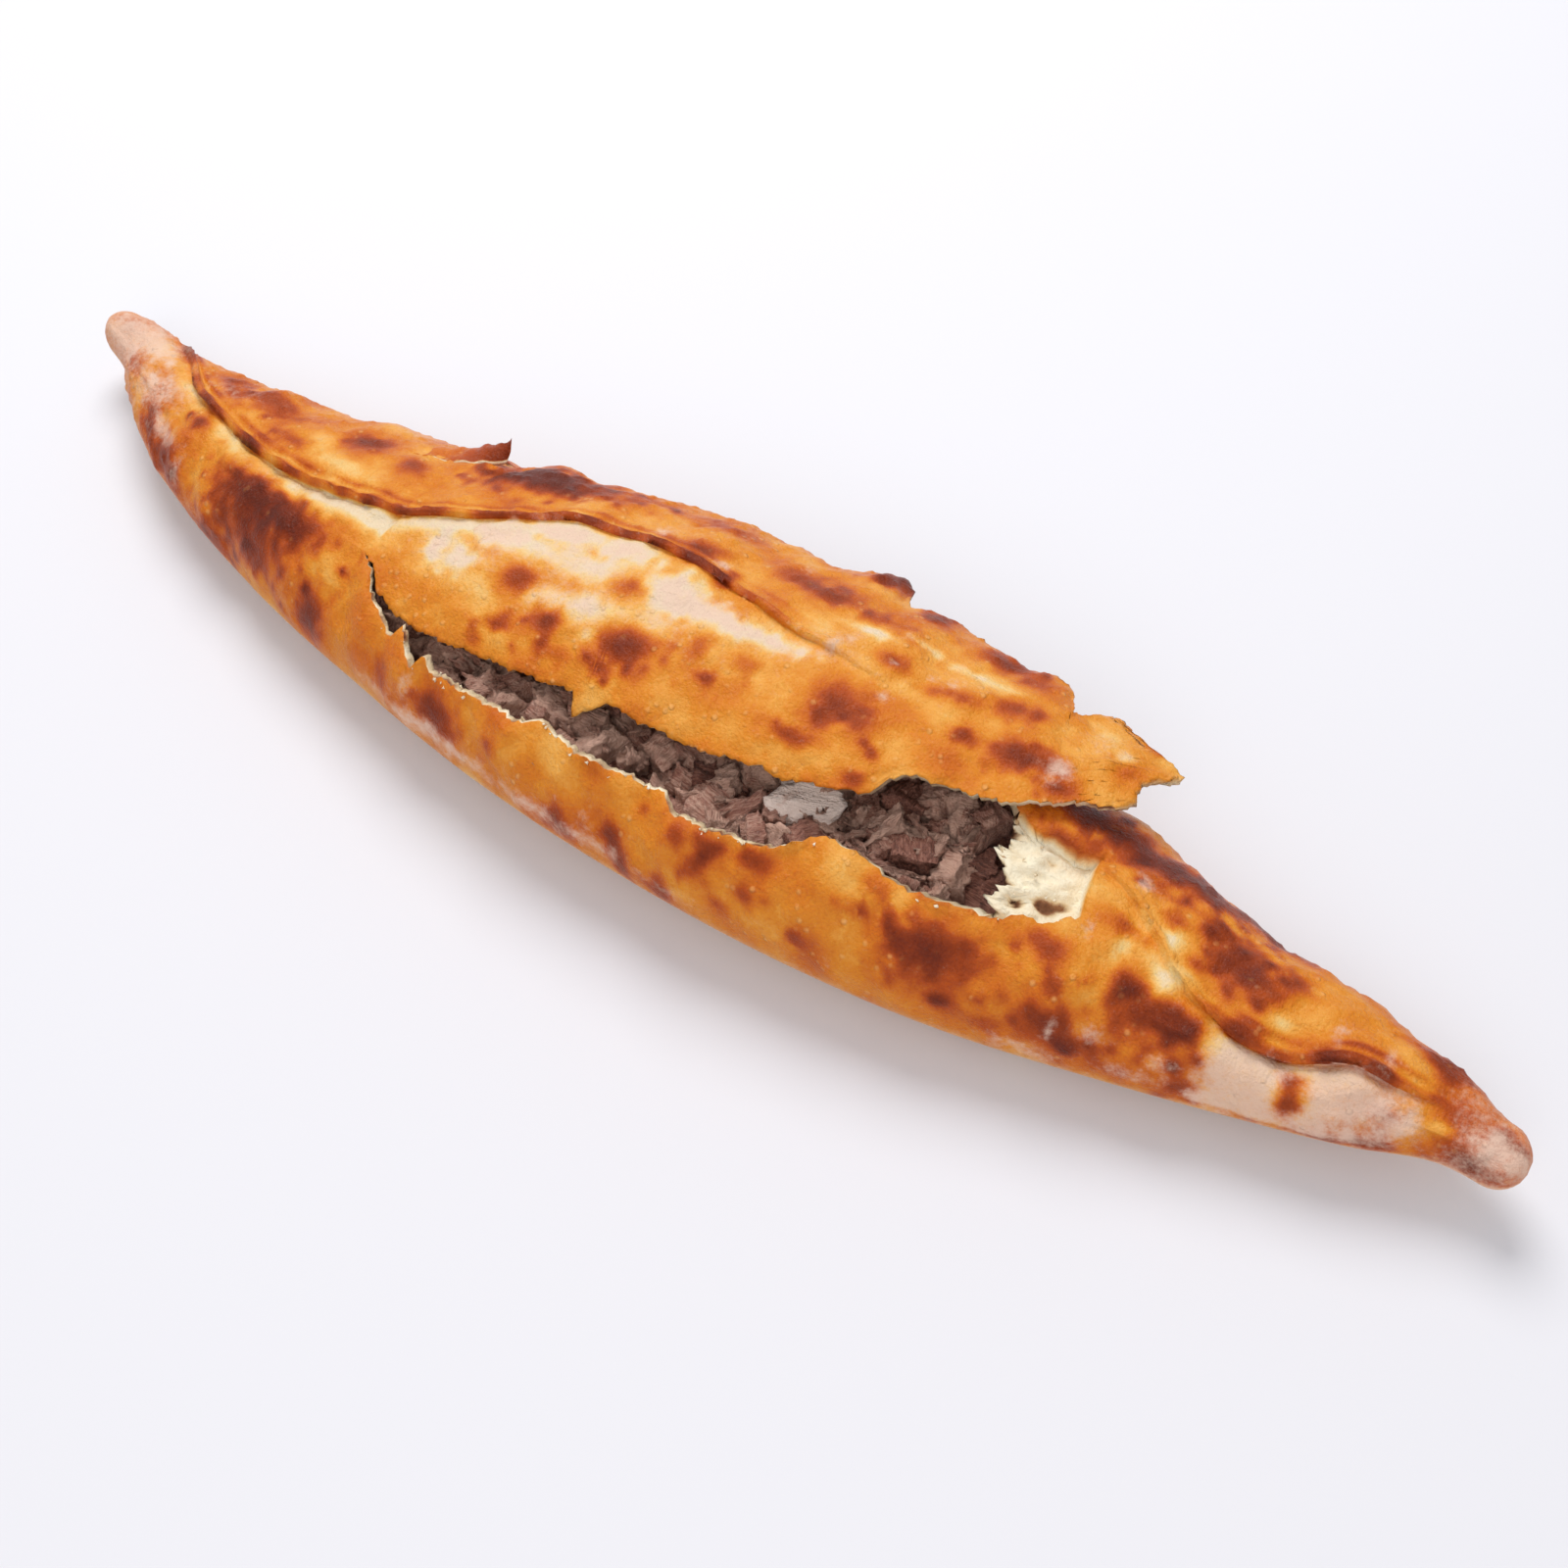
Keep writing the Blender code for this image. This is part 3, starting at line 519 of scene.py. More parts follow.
class MarkField:
    """Marks on a sheet of crust, read as one smooth field with uneven outlines."""

    def __init__(self, form: LoafForm, rows: Rows, seed: int) -> None:
        """Keeps the marks.

        Args:
            form: The loaf that the marks lie on.
            rows: Place, angle, reach along and across, and strength of each mark.
            seed: Seed of the wander of their outlines.
        """
        self.form = form
        self.rows = rows
        self.wander = Waves(seed, 0.0052)

    def at(self, x: np.ndarray, degrees: np.ndarray, points: np.ndarray) -> np.ndarray:
        """Sum of the marks at points of the crust."""
        arc = self.form.arc(x, degrees)
        uneven = 1 + 0.15 * self.wander.at(points)
        total = np.zeros(np.broadcast(x, degrees).shape)
        for place, angle, along, across, strength in self.rows:
            ahead = (x / MM - place) / along
            aside = np.radians(turned_by(degrees, angle)) * arc / across
            reach = np.sqrt(ahead * ahead + aside * aside) * uneven
            total += strength * np.exp(-0.85 * reach * reach)
        return total


@dataclass
class TornCrust:
    """The crust: outside, hollow and torn edges, with the lid as a tongue that hangs on at the left."""

    form: LoafForm
    left_stations: int = 106
    tear_stations: int = 192
    right_stations: int = 98
    nub_stations: int = 8
    near_columns: int = 30
    far_columns: int = 38
    below_far: int = 26
    below_near: int = 46
    inner_over: int = 30
    inner_below: int = 34
    fold_room: float = 1.0
    lid_lowest: float = -0.0004
    near_line: Knots = (
        (-231, 62), (-100, 60), (-82, 61), (-77, 56), (-73, 48), (-67, 42), (-62, 38), (-59.5, 35.5),
        (-57.5, 43), (-55, 40), (-52, 35), (-48, 30), (-45.5, 39), (-42, 34), (-32, 35), (-21, 37),
        (-14, 36.5), (-9, 40), (-6, 43), (0, 40), (10, 40), (24, 42), (31, 43), (35, 38), (43, 39),
        (54, 42), (60, 44), (65, 52), (70, 58), (75, 58), (82, 56), (87, 54), (93, 57.5), (100, 59),
        (108, 67), (115, 70), (118, 75), (122, 80), (135, 66), (150, 50), (231, 42),
    )
    far_line: Knots = (
        (-231, 172), (-200, 162), (-150, 146), (-82, 141), (-72, 150), (-55, 156), (0, 157), (50, 150),
        (80, 130), (90, 118), (99, 104), (105, 100), (116, 104), (122, 107), (135, 122), (200, 146),
        (231, 150),
    )
    lid_near: Knots = (
        (-82, 61), (-75, 54), (-71, 46), (-65, 41), (-57, 37), (-39, 36), (-13, 37), (-5.5, 38.5),
        (-3.5, 28), (0, 33), (4, 40), (11, 38), (28, 36), (43, 39), (46, 40), (49, 37.5), (54, 39),
        (64, 42), (70.5, 44), (72.5, 53), (77, 57), (86, 58), (98, 59), (106, 64), (112, 69), (122, 76),
    )
    lid_far: Knots = (
        (-82, 141), (-50, 146), (0, 150), (31, 153), (38, 151), (40, 140), (43, 131), (47, 137),
        (56, 142), (63, 136), (68, 133), (77, 130), (84, 130), (89, 127), (95, 119), (99, 111.5),
        (104, 114.5), (109, 118), (114, 125), (122, 121),
    )
    lid_end: tuple[float, ...] = (-5, -2, -3, -4, -3, 0, 2, 0, -6, -13, -16)
    lid_end_reach: float = 0.036
    fold_groove: Knots = (
        (-0.214, 0), (-0.195, 0.5), (-0.17, 0.8), (-0.13, 1.1), (-0.10, 1.3), (-0.085, 1.0),
        (-0.074, 0.4), (-0.06, 0.8), (-0.03, 1.0), (0.0, 0.9), (0.02, 0.6), (0.045, 0.2), (0.06, 0),
        (0.12, 0), (0.13, 0.5), (0.15, 0.8), (0.162, 1.0), (0.168, 2.3), (0.18, 2.0), (0.19, 1.8),
        (0.20, 1.3), (0.207, 0.5), (0.216, 0),
    )
    fold_overhang: Knots = (
        (-0.214, 0), (-0.18, 0.3), (-0.15, 0.6), (-0.10, 0.8), (-0.08, 0.4), (-0.06, 0.4),
        (-0.02, 0.8), (0.01, 0.6), (0.04, 0.1), (0.06, 0), (0.13, 0), (0.16, 0.3), (0.168, 1.4),
        (0.18, 1.6), (0.195, 1.2), (0.205, 0.4), (0.216, 0),
    )
    fold_crest: Knots = (
        (-0.214, 0), (-0.20, 0.5), (-0.16, 0.7), (-0.10, 0.6), (-0.08, 0.3), (-0.05, 0.35),
        (-0.01, 0.5), (0.03, 0.3), (0.05, 0), (0.125, 0), (0.165, 0.2), (0.19, 0.5), (0.214, 0),
    )
    fold_brown: Knots = (
        (-0.214, 0), (-0.20, 0.20), (-0.17, 0.30), (-0.12, 0.32), (-0.085, 0.30), (-0.06, 0.30),
        (-0.03, 0.34), (0.01, 0.26), (0.035, 0.10), (0.05, 0), (0.155, 0), (0.164, 0.22),
        (0.175, 0.34), (0.195, 0.30), (0.205, 0.12), (0.216, 0),
    )
    fold_pale: Knots = (
        (-0.205, 0), (-0.18, 0.05), (-0.155, 0.20), (-0.12, 0.34), (-0.07, 0.36), (-0.05, 0.36),
        (-0.025, 0.26), (0.0, 0.10), (0.02, 0.02), (0.06, 0), (0.12, 0), (0.135, 0.14), (0.16, 0.16),
        (0.19, 0.10), (0.21, 0),
    )
    pocket: Waves = field(default_factory=lambda: Waves(9, 0.0085))
    swell: Waves = field(default_factory=lambda: Waves(3, 0.019))
    ripple: Waves = field(default_factory=lambda: Waves(4, 0.0068))
    grain: Waves = field(default_factory=lambda: Waves(5, 0.0031))
    blisters: Waves = field(default_factory=lambda: Waves(6, 0.0046))
    sponge: Waves = field(default_factory=lambda: Waves(7, 0.0027))
    tone: Waves = field(default_factory=lambda: Waves(8, 0.014))

    def __post_init__(self) -> None:
        """Reads the marks of both sheets."""
        self.baked = {
            Sheet.BODY: MarkField(self.form, BODY_BROWNED, 11),
            Sheet.LID: MarkField(self.form, LID_BROWNED, 12),
        }
        self.floured = {
            Sheet.BODY: MarkField(self.form, BODY_FLOURED, 13),
            Sheet.LID: MarkField(self.form, LID_FLOURED, 14),
        }
        self.dented = {
            Sheet.BODY: MarkField(self.form, BODY_DENTED, 15),
            Sheet.LID: MarkField(self.form, LID_DENTED, 16),
        }

    def stations(self) -> tuple[np.ndarray, int, int]:
        """Places of the sections along the loaf, and the indices of the tear's two ends."""
        form = self.form
        turn = math.pi / 2 * np.arange(1, self.nub_stations + 1) / self.nub_stations
        nub = form.tip - form.nub_round * (1 - np.cos(turn))
        inside = form.tip - form.nub_round
        left = np.linspace(-inside, form.tear_left, self.left_stations, endpoint=False)
        tear = np.linspace(form.tear_left, form.tear_right, self.tear_stations + 1)
        right = np.linspace(form.tear_right, inside, self.right_stations, endpoint=False)[1:]
        places = np.concatenate([-nub[:-1], left, tear, right, nub[::-1]])
        first = len(nub) - 1 + len(left)
        return places, first, first + self.tear_stations

    def ragged(self, x: np.ndarray, phase: float) -> np.ndarray:
        """Sideways wander of a torn edge, in mm."""
        wander = 0.30 * np.sin(655 * x + phase) + 0.22 * np.sin(1490 * x + 1.7 * phase)
        return wander + 0.24 * np.sin(2630 * x + 2.9 * phase) + 0.14 * np.sin(4310 * x + 4.3 * phase)

    def over(self, x: np.ndarray, near: np.ndarray, far: np.ndarray) -> np.ndarray:
        """Angles of the columns over the top, from the near cut by the seam to the far cut.

        Args:
            x: Places of the sections.
            near: Angle of the near cut at each.
            far: Angle of the far cut at each.

        Returns:
            One row of angles for each section, close together at the seam.
        """
        seam = through(self.form.seam, x)
        room = np.degrees(self.fold_room / self.form.arc(x, seam))
        room = np.minimum(room, np.minimum(seam - near, far - seam) / 3)
        first = near + (seam - room - near) * np.linspace(0, 1, self.near_columns + 1)[:, None]
        fold = seam + room * np.array([-0.4, 0.0, 0.45])[:, None]
        last = seam + room + (far - seam - room) * np.linspace(0, 1, self.far_columns + 1)[:, None]
        return np.concatenate([first, fold, last]).T

    def inner_columns(self, x: np.ndarray, near: np.ndarray, far: np.ndarray) -> np.ndarray:
        """Angles of the columns of the inside over the top, evenly spaced on each side of the seam."""
        seam = through(self.form.seam, x)
        half = self.inner_over // 2
        first = near + (seam - near) * np.linspace(0, 1, half, endpoint=False)[:, None]
        last = seam + (far - seam) * np.linspace(0, 1, half + 1)[:, None]
        return np.concatenate([first, last]).T

    def below(self, near: np.ndarray, far: np.ndarray, far_side: int, near_side: int) -> np.ndarray:
        """Angles of the columns from the far cut round the underside to the near cut, both left out."""
        first = far + (270 - far) * (np.arange(1, far_side + 1) / far_side)[:, None]
        last = 270 + (near + 90) * (np.arange(1, near_side) / near_side)[:, None]
        return np.concatenate([first, last]).T

    def fold(self, x: np.ndarray, degrees: np.ndarray) -> tuple[np.ndarray, np.ndarray, np.ndarray]:
        """The lapped seam.

        Args:
            x: Places.
            degrees: Angles.

        Returns:
            Distance past the seam in mm, its relief in mm, and how far its lip hangs over in mm.
        """
        seam = through(self.form.seam, x)
        past = np.radians(turned_by(degrees, seam)) * self.form.arc(x, seam)
        before = past < -0.05
        spot = np.stack(np.broadcast_arrays(x, 0 * past, 0 * past), -1)
        pockets = np.clip(1 + 0.45 * self.pocket.at(spot), 0.1, 2.2)
        depth = through(self.fold_groove, x) * pockets
        relief = np.where(before, -depth * bell(past, 0.0, 3.0), 0.0)
        crest = 1.5 * np.maximum(through(self.fold_crest, x), 0)
        relief = relief + crest * (bell(past, 0.9, 0.8) - 0.8 * bell(past, 2.7, 0.8))
        hang = np.where(before, 0.0, through(self.fold_overhang, x) * bell(past, 0.0, 1.5))
        return past, relief, hang

    def heat(self, x: np.ndarray, degrees: np.ndarray, past: np.ndarray, sheet: Sheet) -> Skin:
        """How baked and how floury the crust is before its marks, with painted shade under the open lip.

        Args:
            x: Places.
            degrees: Angles.
            past: Distance past the seam in mm.
            sheet: The sheet that the places are on.

        Returns:
            A skin without points.
        """
        height = np.sin(np.radians(degrees))
        bake = 0.39 + 0.05 * (1 - smooth(0.45, 0.85, height)) + 0 * x
        flour = 0 * bake
        left = 1 - smooth(-0.200, -0.180, x)
        nub = 1 - smooth(-0.212, -0.203, x)
        bake = bake - 0.06 * left + 0.12 * nub
        flour = flour + 0.34 * left + 0.26 * nub
        if sheet is Sheet.BODY:
            lap = smooth(0.160, 0.168, x) * (1 - smooth(0.203, 0.210, x)) * (past < 0)
            lap = lap * smooth(-0.12, 0.0, height)
            worn = smooth(0.184, 0.198, x)
            bake = bake - (0.20 - 0.26 * worn) * lap
            flour = flour + (0.60 - 0.16 * worn) * lap
            # Painted shade: a dark line, with the flour taken away, just under the overhanging lip near the
            # right end, where the fold lies in shadow.
            gap = lap * smooth(0.162, 0.166, x) * (1 - smooth(0.176, 0.184, x))
            gap = gap * bell(past, -0.7, 0.9)
            bake = bake + 0.75 * gap
            flour = flour - 0.9 * gap
            nub = smooth(0.206, 0.215, x)
            bake = bake + 0.16 * nub
            flour = flour + 0.40 * nub
        under = 1 - smooth(-0.40, 0.02, height)
        bake = bake * (1 - under) + 0.30 * under
        flour = flour + 0.62 * under
        spot = np.stack(np.broadcast_arrays(x, past * MM, 0 * past), -1)
        worn = np.clip(0.9 + 0.35 * self.blisters.at(spot * 0.45), 0.3, 1.5)
        brown = 1.35 * np.maximum(through(self.fold_brown, x), 0) * worn
        pale = np.maximum(through(self.fold_pale, x), 0)
        bake = bake + brown * (bell(past, 0.7, 1.3) + 0.45 * bell(past, 4.0, 0.9))
        band = pale * bell(past, -3.4, 3.2) * (past < 0)
        bake = bake - band - 0.25 * pale * bell(past, 2.6, 1.0)
        flour = flour + 0.7 * band
        return Skin(np.zeros(0), bake, flour, 0 * bake)

    def outside(
        self, x: np.ndarray, degrees: np.ndarray, sheet: Sheet, peeled: np.ndarray | None = None
    ) -> Skin:
        """The baked outside at a grid of places and angles.

        Args:
            x: Places along the loaf.
            degrees: Angles round it.
            sheet: The sheet that the grid is on.
            peeled: 1 where the baked skin is torn off and the crumb shows, else 0.

        Returns:
            The skin, swung out of the way where it is the lid.
        """
        form = self.form
        peeled = np.zeros(degrees.shape) if peeled is None else peeled
        past, relief, hang = self.fold(x, degrees)
        look = self.heat(x, degrees, past, sheet)
        turned = degrees - np.degrees(hang / form.arc(x, degrees))
        base = form.outer(x, turned, form.peel_depth * peeled)
        marks = self.baked[sheet].at(x, degrees, base)
        dents = self.dented[sheet].at(x, degrees, base)
        room = smooth(0.0, 0.012, form.tip - np.abs(x)) * smooth(-0.30, 0.12, np.sin(np.radians(degrees)))
        rough = 0.30 * self.swell.at(base) + 0.15 * self.ripple.at(base) + 0.07 * self.grain.at(base)
        rough += 0.38 * smooth(0.9, 1.8, self.blisters.at(base)) + 0.4 * np.clip(marks, 0, 1)
        spongy = -0.5 + 0.24 * self.sponge.at(base) + 0.5 * self.ripple.at(base) - 1.4 * dents
        height = np.where(peeled > 0.5, spongy, rough + relief - dents) * room * MM
        if sheet is Sheet.LID:
            height = np.maximum(height, self.lid_lowest)
        points = base + form.normal(x, turned) * height[..., None]
        if sheet is Sheet.LID:
            points = form.swung(points)
        # Painted shade: dents in the peeled crumb shelf are coloured dark brown so they read as shaded
        # holes.
        crumb_tone_and_hole_shade = 0.04 + 0.6 * smooth(0.7, 1.6, dents)
        bake = np.where(peeled > 0.5, crumb_tone_and_hole_shade, look.bake + marks + 0.045 * self.tone.at(base))
        flour = look.flour + self.floured[sheet].at(x, degrees, base)
        if sheet is Sheet.LID:
            flour = flour + 1.6 * np.clip(-marks, 0, 0.5)
            pale = bell(x, -0.022, 0.050) * bell(degrees, 74, 15)
            bake = bake - 0.13 * pale
            flour = flour + 0.34 * pale * (1 - np.clip(3.0 * marks, 0, 1))
        burnt = 0.6 + 0.4 * np.tanh(2.7 * (bake - 0.6))
        bake = np.where(bake > 0.6, burnt, np.clip(bake, 0, 1))
        return Skin(points, bake, np.clip(flour, 0, 1), peeled)

    def inside(self, x: np.ndarray, degrees: np.ndarray, wall: np.ndarray) -> Skin:
        """The wall of the hollow at a grid of places and angles, at a wall thickness."""
        points = self.form.ring(x, degrees, self.form.hollow(x, wall))
        stain = 0.62 + 0 * degrees
        return Skin(points, stain, 0 * degrees, 1 + 0 * degrees)

    def lid_inside(self, x: np.ndarray, degrees: np.ndarray, wall: np.ndarray) -> Skin:
        """The underside of the lid at a grid of places and angles, at a wall thickness."""
        centre, half, low, high = self.form.sizes(x)
        swell = self.form.lumps(x, degrees) + self.form.seam_relief(x, degrees)
        sizes = (centre, half - wall + swell, low, high - wall + swell)
        points = self.form.swung(self.form.ring(x, degrees, sizes))
        return Skin(points, 0.45 + 0 * degrees, 0 * degrees, 1 + 0 * degrees)

    def rim(self, shell: Shell, outer: np.ndarray, inner: np.ndarray, outer_first: bool) -> None:
        """The torn edge between two rows of vertices, with a row of fresh crumb just under the skin.

        Args:
            shell: The shell that the edge joins.
            outer: Row on the baked outside.
            inner: Row on the inside, as long.
            outer_first: True where the faces look to the left of the outer row towards the inner one.
        """
        points = np.concatenate(shell.points)
        share = 0.16 + 0.10 * np.sin(np.arange(len(outer)) * 2.4)[:, None]
        under = points[outer] * (1 - share) + points[inner] * share
        fresh = np.clip(0.30 + 0.22 * self.ripple.at(points[outer]), 0, 0.7)
        middle = shell.add(Skin(under, fresh, 0 * fresh, 1 + 0 * fresh))
        if outer_first:
            shell.bridge(outer, middle)
            shell.bridge(middle, inner)
        else:
            shell.bridge(inner, middle)
            shell.bridge(middle, outer)

    def shell(self) -> Shell:
        """All sheets of the crust as one closed skin."""
        form = self.form
        shell = Shell()
        places, first, last = self.stations()
        reach = np.degrees(1 / form.arc(places, np.full(len(places), 45.0)))
        torn = (places > form.tear_left + 0.0005) & (places < form.peel_right)
        near = straight(self.near_line, places) + np.where(torn, self.ragged(places, 0.7) * reach, 0)
        far = straight(self.far_line, places) + np.where(torn, self.ragged(places, 4.1) * reach, 0)
        over = self.over(places, near, far)
        top = over.shape[1] - 1
        angles = np.concatenate([over, self.below(near, far, self.below_far, self.below_near)], axis=1)
        column = np.arange(angles.shape[1])
        x = form.slanted(places[:, None], angles)
        x = x + self.shelf_edge(places, angles, column, top, last)
        peeled = (places >= form.tear_right)[:, None] & (places < form.peel_right - 0.0015)[:, None]
        peeled = (peeled & (column > 0) & (column < top)).astype(float)
        outer = shell.add(self.outside(x, angles, Sheet.BODY, peeled))
        self.close_outside(shell, outer, first, last, top)
        inner, inner_top, held = self.line(shell, places, near, far, first, last)
        tear = slice(first, last + 1)
        inner_tear = inner[first - held : last - held + 1]
        self.rim(shell, outer[tear, 0], inner_tear[:, 0], True)
        self.rim(shell, outer[tear, top], inner_tear[:, inner_top], False)
        shell.zip_rows(outer[last, : top + 1], inner[last - held, : inner_top + 1], False)
        self.add_lid(shell, outer[first, : top + 1], inner[first - held, : inner_top + 1])
        shell.close_gaps()
        return shell

    def shelf_edge(
        self, places: np.ndarray, angles: np.ndarray, column: np.ndarray, top: int, last: int
    ) -> np.ndarray:
        """Shift along the loaf that makes the left edge of the crumb shelf ragged.

        Args:
            places: Places of the sections.
            angles: Angle of each of their columns.
            column: Index of each column.
            top: Column of the far cut.
            last: Index of the section at the right end of the tear.

        Returns:
            A shift for every section and column.
        """
        over = (column > 0) & (column < top)
        past = np.arange(len(places)) - last
        fade = np.where(past >= 0, np.exp(-np.maximum(past, 0) / 5.0), 0)
        wander = 2.2 * np.sin(0.33 * angles + 1.0) + 1.1 * np.sin(0.91 * angles + 0.4)
        wander += 0.6 * np.sin(2.3 * angles)
        return fade[:, None] * np.where(over, wander, 0) * MM

    def close_outside(self, shell: Shell, outer: np.ndarray, first: int, last: int, top: int) -> None:
        """Faces of the outside, left open over the tear and closed at both nubs.

        Args:
            shell: The shell that the faces join.
            outer: Vertex indices of the outside, a row for each section.
            first: Index of the section at the left end of the tear.
            last: Index of the section at its right end.
            top: Column of the far cut.
        """
        ring = np.concatenate([outer, outer[:, :1]], axis=1)
        shell.grid(ring[1 : first + 1], True)
        shell.grid(ring[first : last + 1, top:], True)
        shell.grid(ring[last:-1], True)
        shell.fan(int(ring[0, 0]), ring[1], False)
        shell.fan(int(ring[-1, 0]), ring[-2], True)

    def line(
        self, shell: Shell, places: np.ndarray, near: np.ndarray, far: np.ndarray, first: int, last: int
    ) -> tuple[np.ndarray, int, int]:
        """The wall of the hollow.

        Args:
            shell: The shell that the wall joins.
            places: Places of all sections.
            near: Angle of the near cut at each.
            far: Angle of the far cut at each.
            first: Index of the section at the left end of the tear.
            last: Index of the section at its right end.

        Returns:
            The vertex indices, the column of the far cut, and the index of the first section held.
        """
        form = self.form
        right_end = form.hollow_right - form.tear_slant - 0.002
        held = np.nonzero((places > form.hollow_left + 0.002) & (places < right_end))[0]
        over = self.inner_columns(places, near, far)
        top = over.shape[1] - 1
        below = self.below(near, far, self.inner_below // 2, self.inner_below // 2)
        angles = np.concatenate([over, below], axis=1)[held]
        column = np.arange(angles.shape[1])
        rim_columns = np.minimum(np.abs(column - top), np.minimum(column, len(column) - column))
        torn = ((held > first) & (held <= last))[:, None]
        thin = np.where(torn, np.clip(1 - rim_columns / 3, 0, 1), 0)
        wall = form.wall + (form.torn_edge - form.wall) * thin
        x = form.slanted(places[held][:, None], angles)
        skin = self.inside(x, angles, wall)
        skin.bake = skin.bake - 0.40 * thin
        inner = shell.add(skin)
        ring = np.concatenate([inner, inner[:, :1]], axis=1)
        start = held[0]
        shell.grid(ring[: first - start + 1], False)
        shell.grid(ring[first - start : last - start + 1, top:], False)
        shell.grid(ring[last - start :], False)
        tips = np.array([form.hollow_left, form.hollow_right])
        ends = form.ring(tips, np.full(2, 90.0), form.hollow(tips, form.wall))
        left, right = shell.add(Skin(ends, np.full(2, 0.6), np.zeros(2), np.ones(2))).tolist()
        shell.fan(left, ring[0], True)
        shell.fan(right, ring[-1], False)
        return inner, top, int(start)

    def add_lid(self, shell: Shell, outer_root: np.ndarray, inner_root: np.ndarray) -> None:
        """The lid, from the two rows of vertices at its root on the crust.

        Args:
            shell: The shell that the lid joins.
            outer_root: Row on the baked outside, from the near to the far cut.
            inner_root: Row on the wall of the hollow.
        """
        form = self.form
        length = form.lid_right - form.tear_left
        steps = round(self.tear_stations * length / (form.tear_right - form.tear_left))
        places = form.tear_left + length * np.arange(1, steps + 1) / steps
        reach = np.degrees(1 / form.arc(places, np.full(steps, 45.0)))
        near = straight(self.lid_near, places) + self.ragged(places, 1.9) * reach
        far = straight(self.lid_far, places) + self.ragged(places, 5.2) * reach
        angles = self.over(places, near, far)
        bite = self.bite(places, self.end_share())
        outer = shell.add(self.outside(places[:, None] + bite, angles, Sheet.LID))
        inner_angles = self.inner_columns(places, near, far)
        count = inner_angles.shape[1]
        share = 10 * np.arange(count) / (count - 1)
        column = np.arange(count)
        rim_columns = np.minimum(column, count - 1 - column)[None, :]
        from_end = (steps - 1 - np.arange(steps))[:, None]
        thin = np.clip(1 - np.minimum(rim_columns / 3, from_end / 4), 0, 1)
        wall = form.lid_wall + (form.torn_edge - form.lid_wall) * thin
        inner_bite = self.bite(places, share)
        skin = self.lid_inside(places[:, None] + inner_bite, inner_angles, wall)
        skin.bake = skin.bake - 0.30 * thin
        inner = shell.add(skin)
        outer = np.concatenate([outer_root[None], outer])
        inner = np.concatenate([inner_root[None], inner])
        shell.grid(outer, True)
        shell.grid(inner, False)
        self.rim(shell, outer[:, 0], inner[:, 0], False)
        self.rim(shell, outer[:, -1], inner[:, -1], True)
        shell.zip_rows(outer[-1], inner[-1], True)

    def end_share(self) -> np.ndarray:
        """Place of each outer column on the scale of the lid's end, 0 at the near cut and 10 at the far."""
        before = np.linspace(0, 5, self.near_columns + 1)
        after = np.linspace(5, 10, self.far_columns + 1)
        return np.concatenate([before, np.full(3, 5.0), after])

    def bite(self, places: np.ndarray, share: np.ndarray) -> np.ndarray:
        """Shift along the loaf that shapes the free end of the lid.

        Args:
            places: Places of the sections.
            share: Place of each column on the scale of the lid's end.

        Returns:
            A shift for every section and column.
        """
        shape = np.interp(share, np.arange(len(self.lid_end)), self.lid_end)
        shape = shape + 0.5 * np.sin(5.2 * share) + 0.35 * np.sin(10.2 * share + 1)
        grown = smooth(self.form.lid_right - self.lid_end_reach, self.form.lid_right, places)
        return grown[:, None] * shape * MM

    def build(self, finish: bpy.types.Material) -> bpy.types.Object:
        """The whole crust as one object.

        Args:
            finish: Material of the crust.

        Returns:
            The object, at the origin.
        """
        mesh = self.shell().mesh("torn_crust")
        mesh.materials.append(finish)
        return in_scene("torn_crust", mesh)


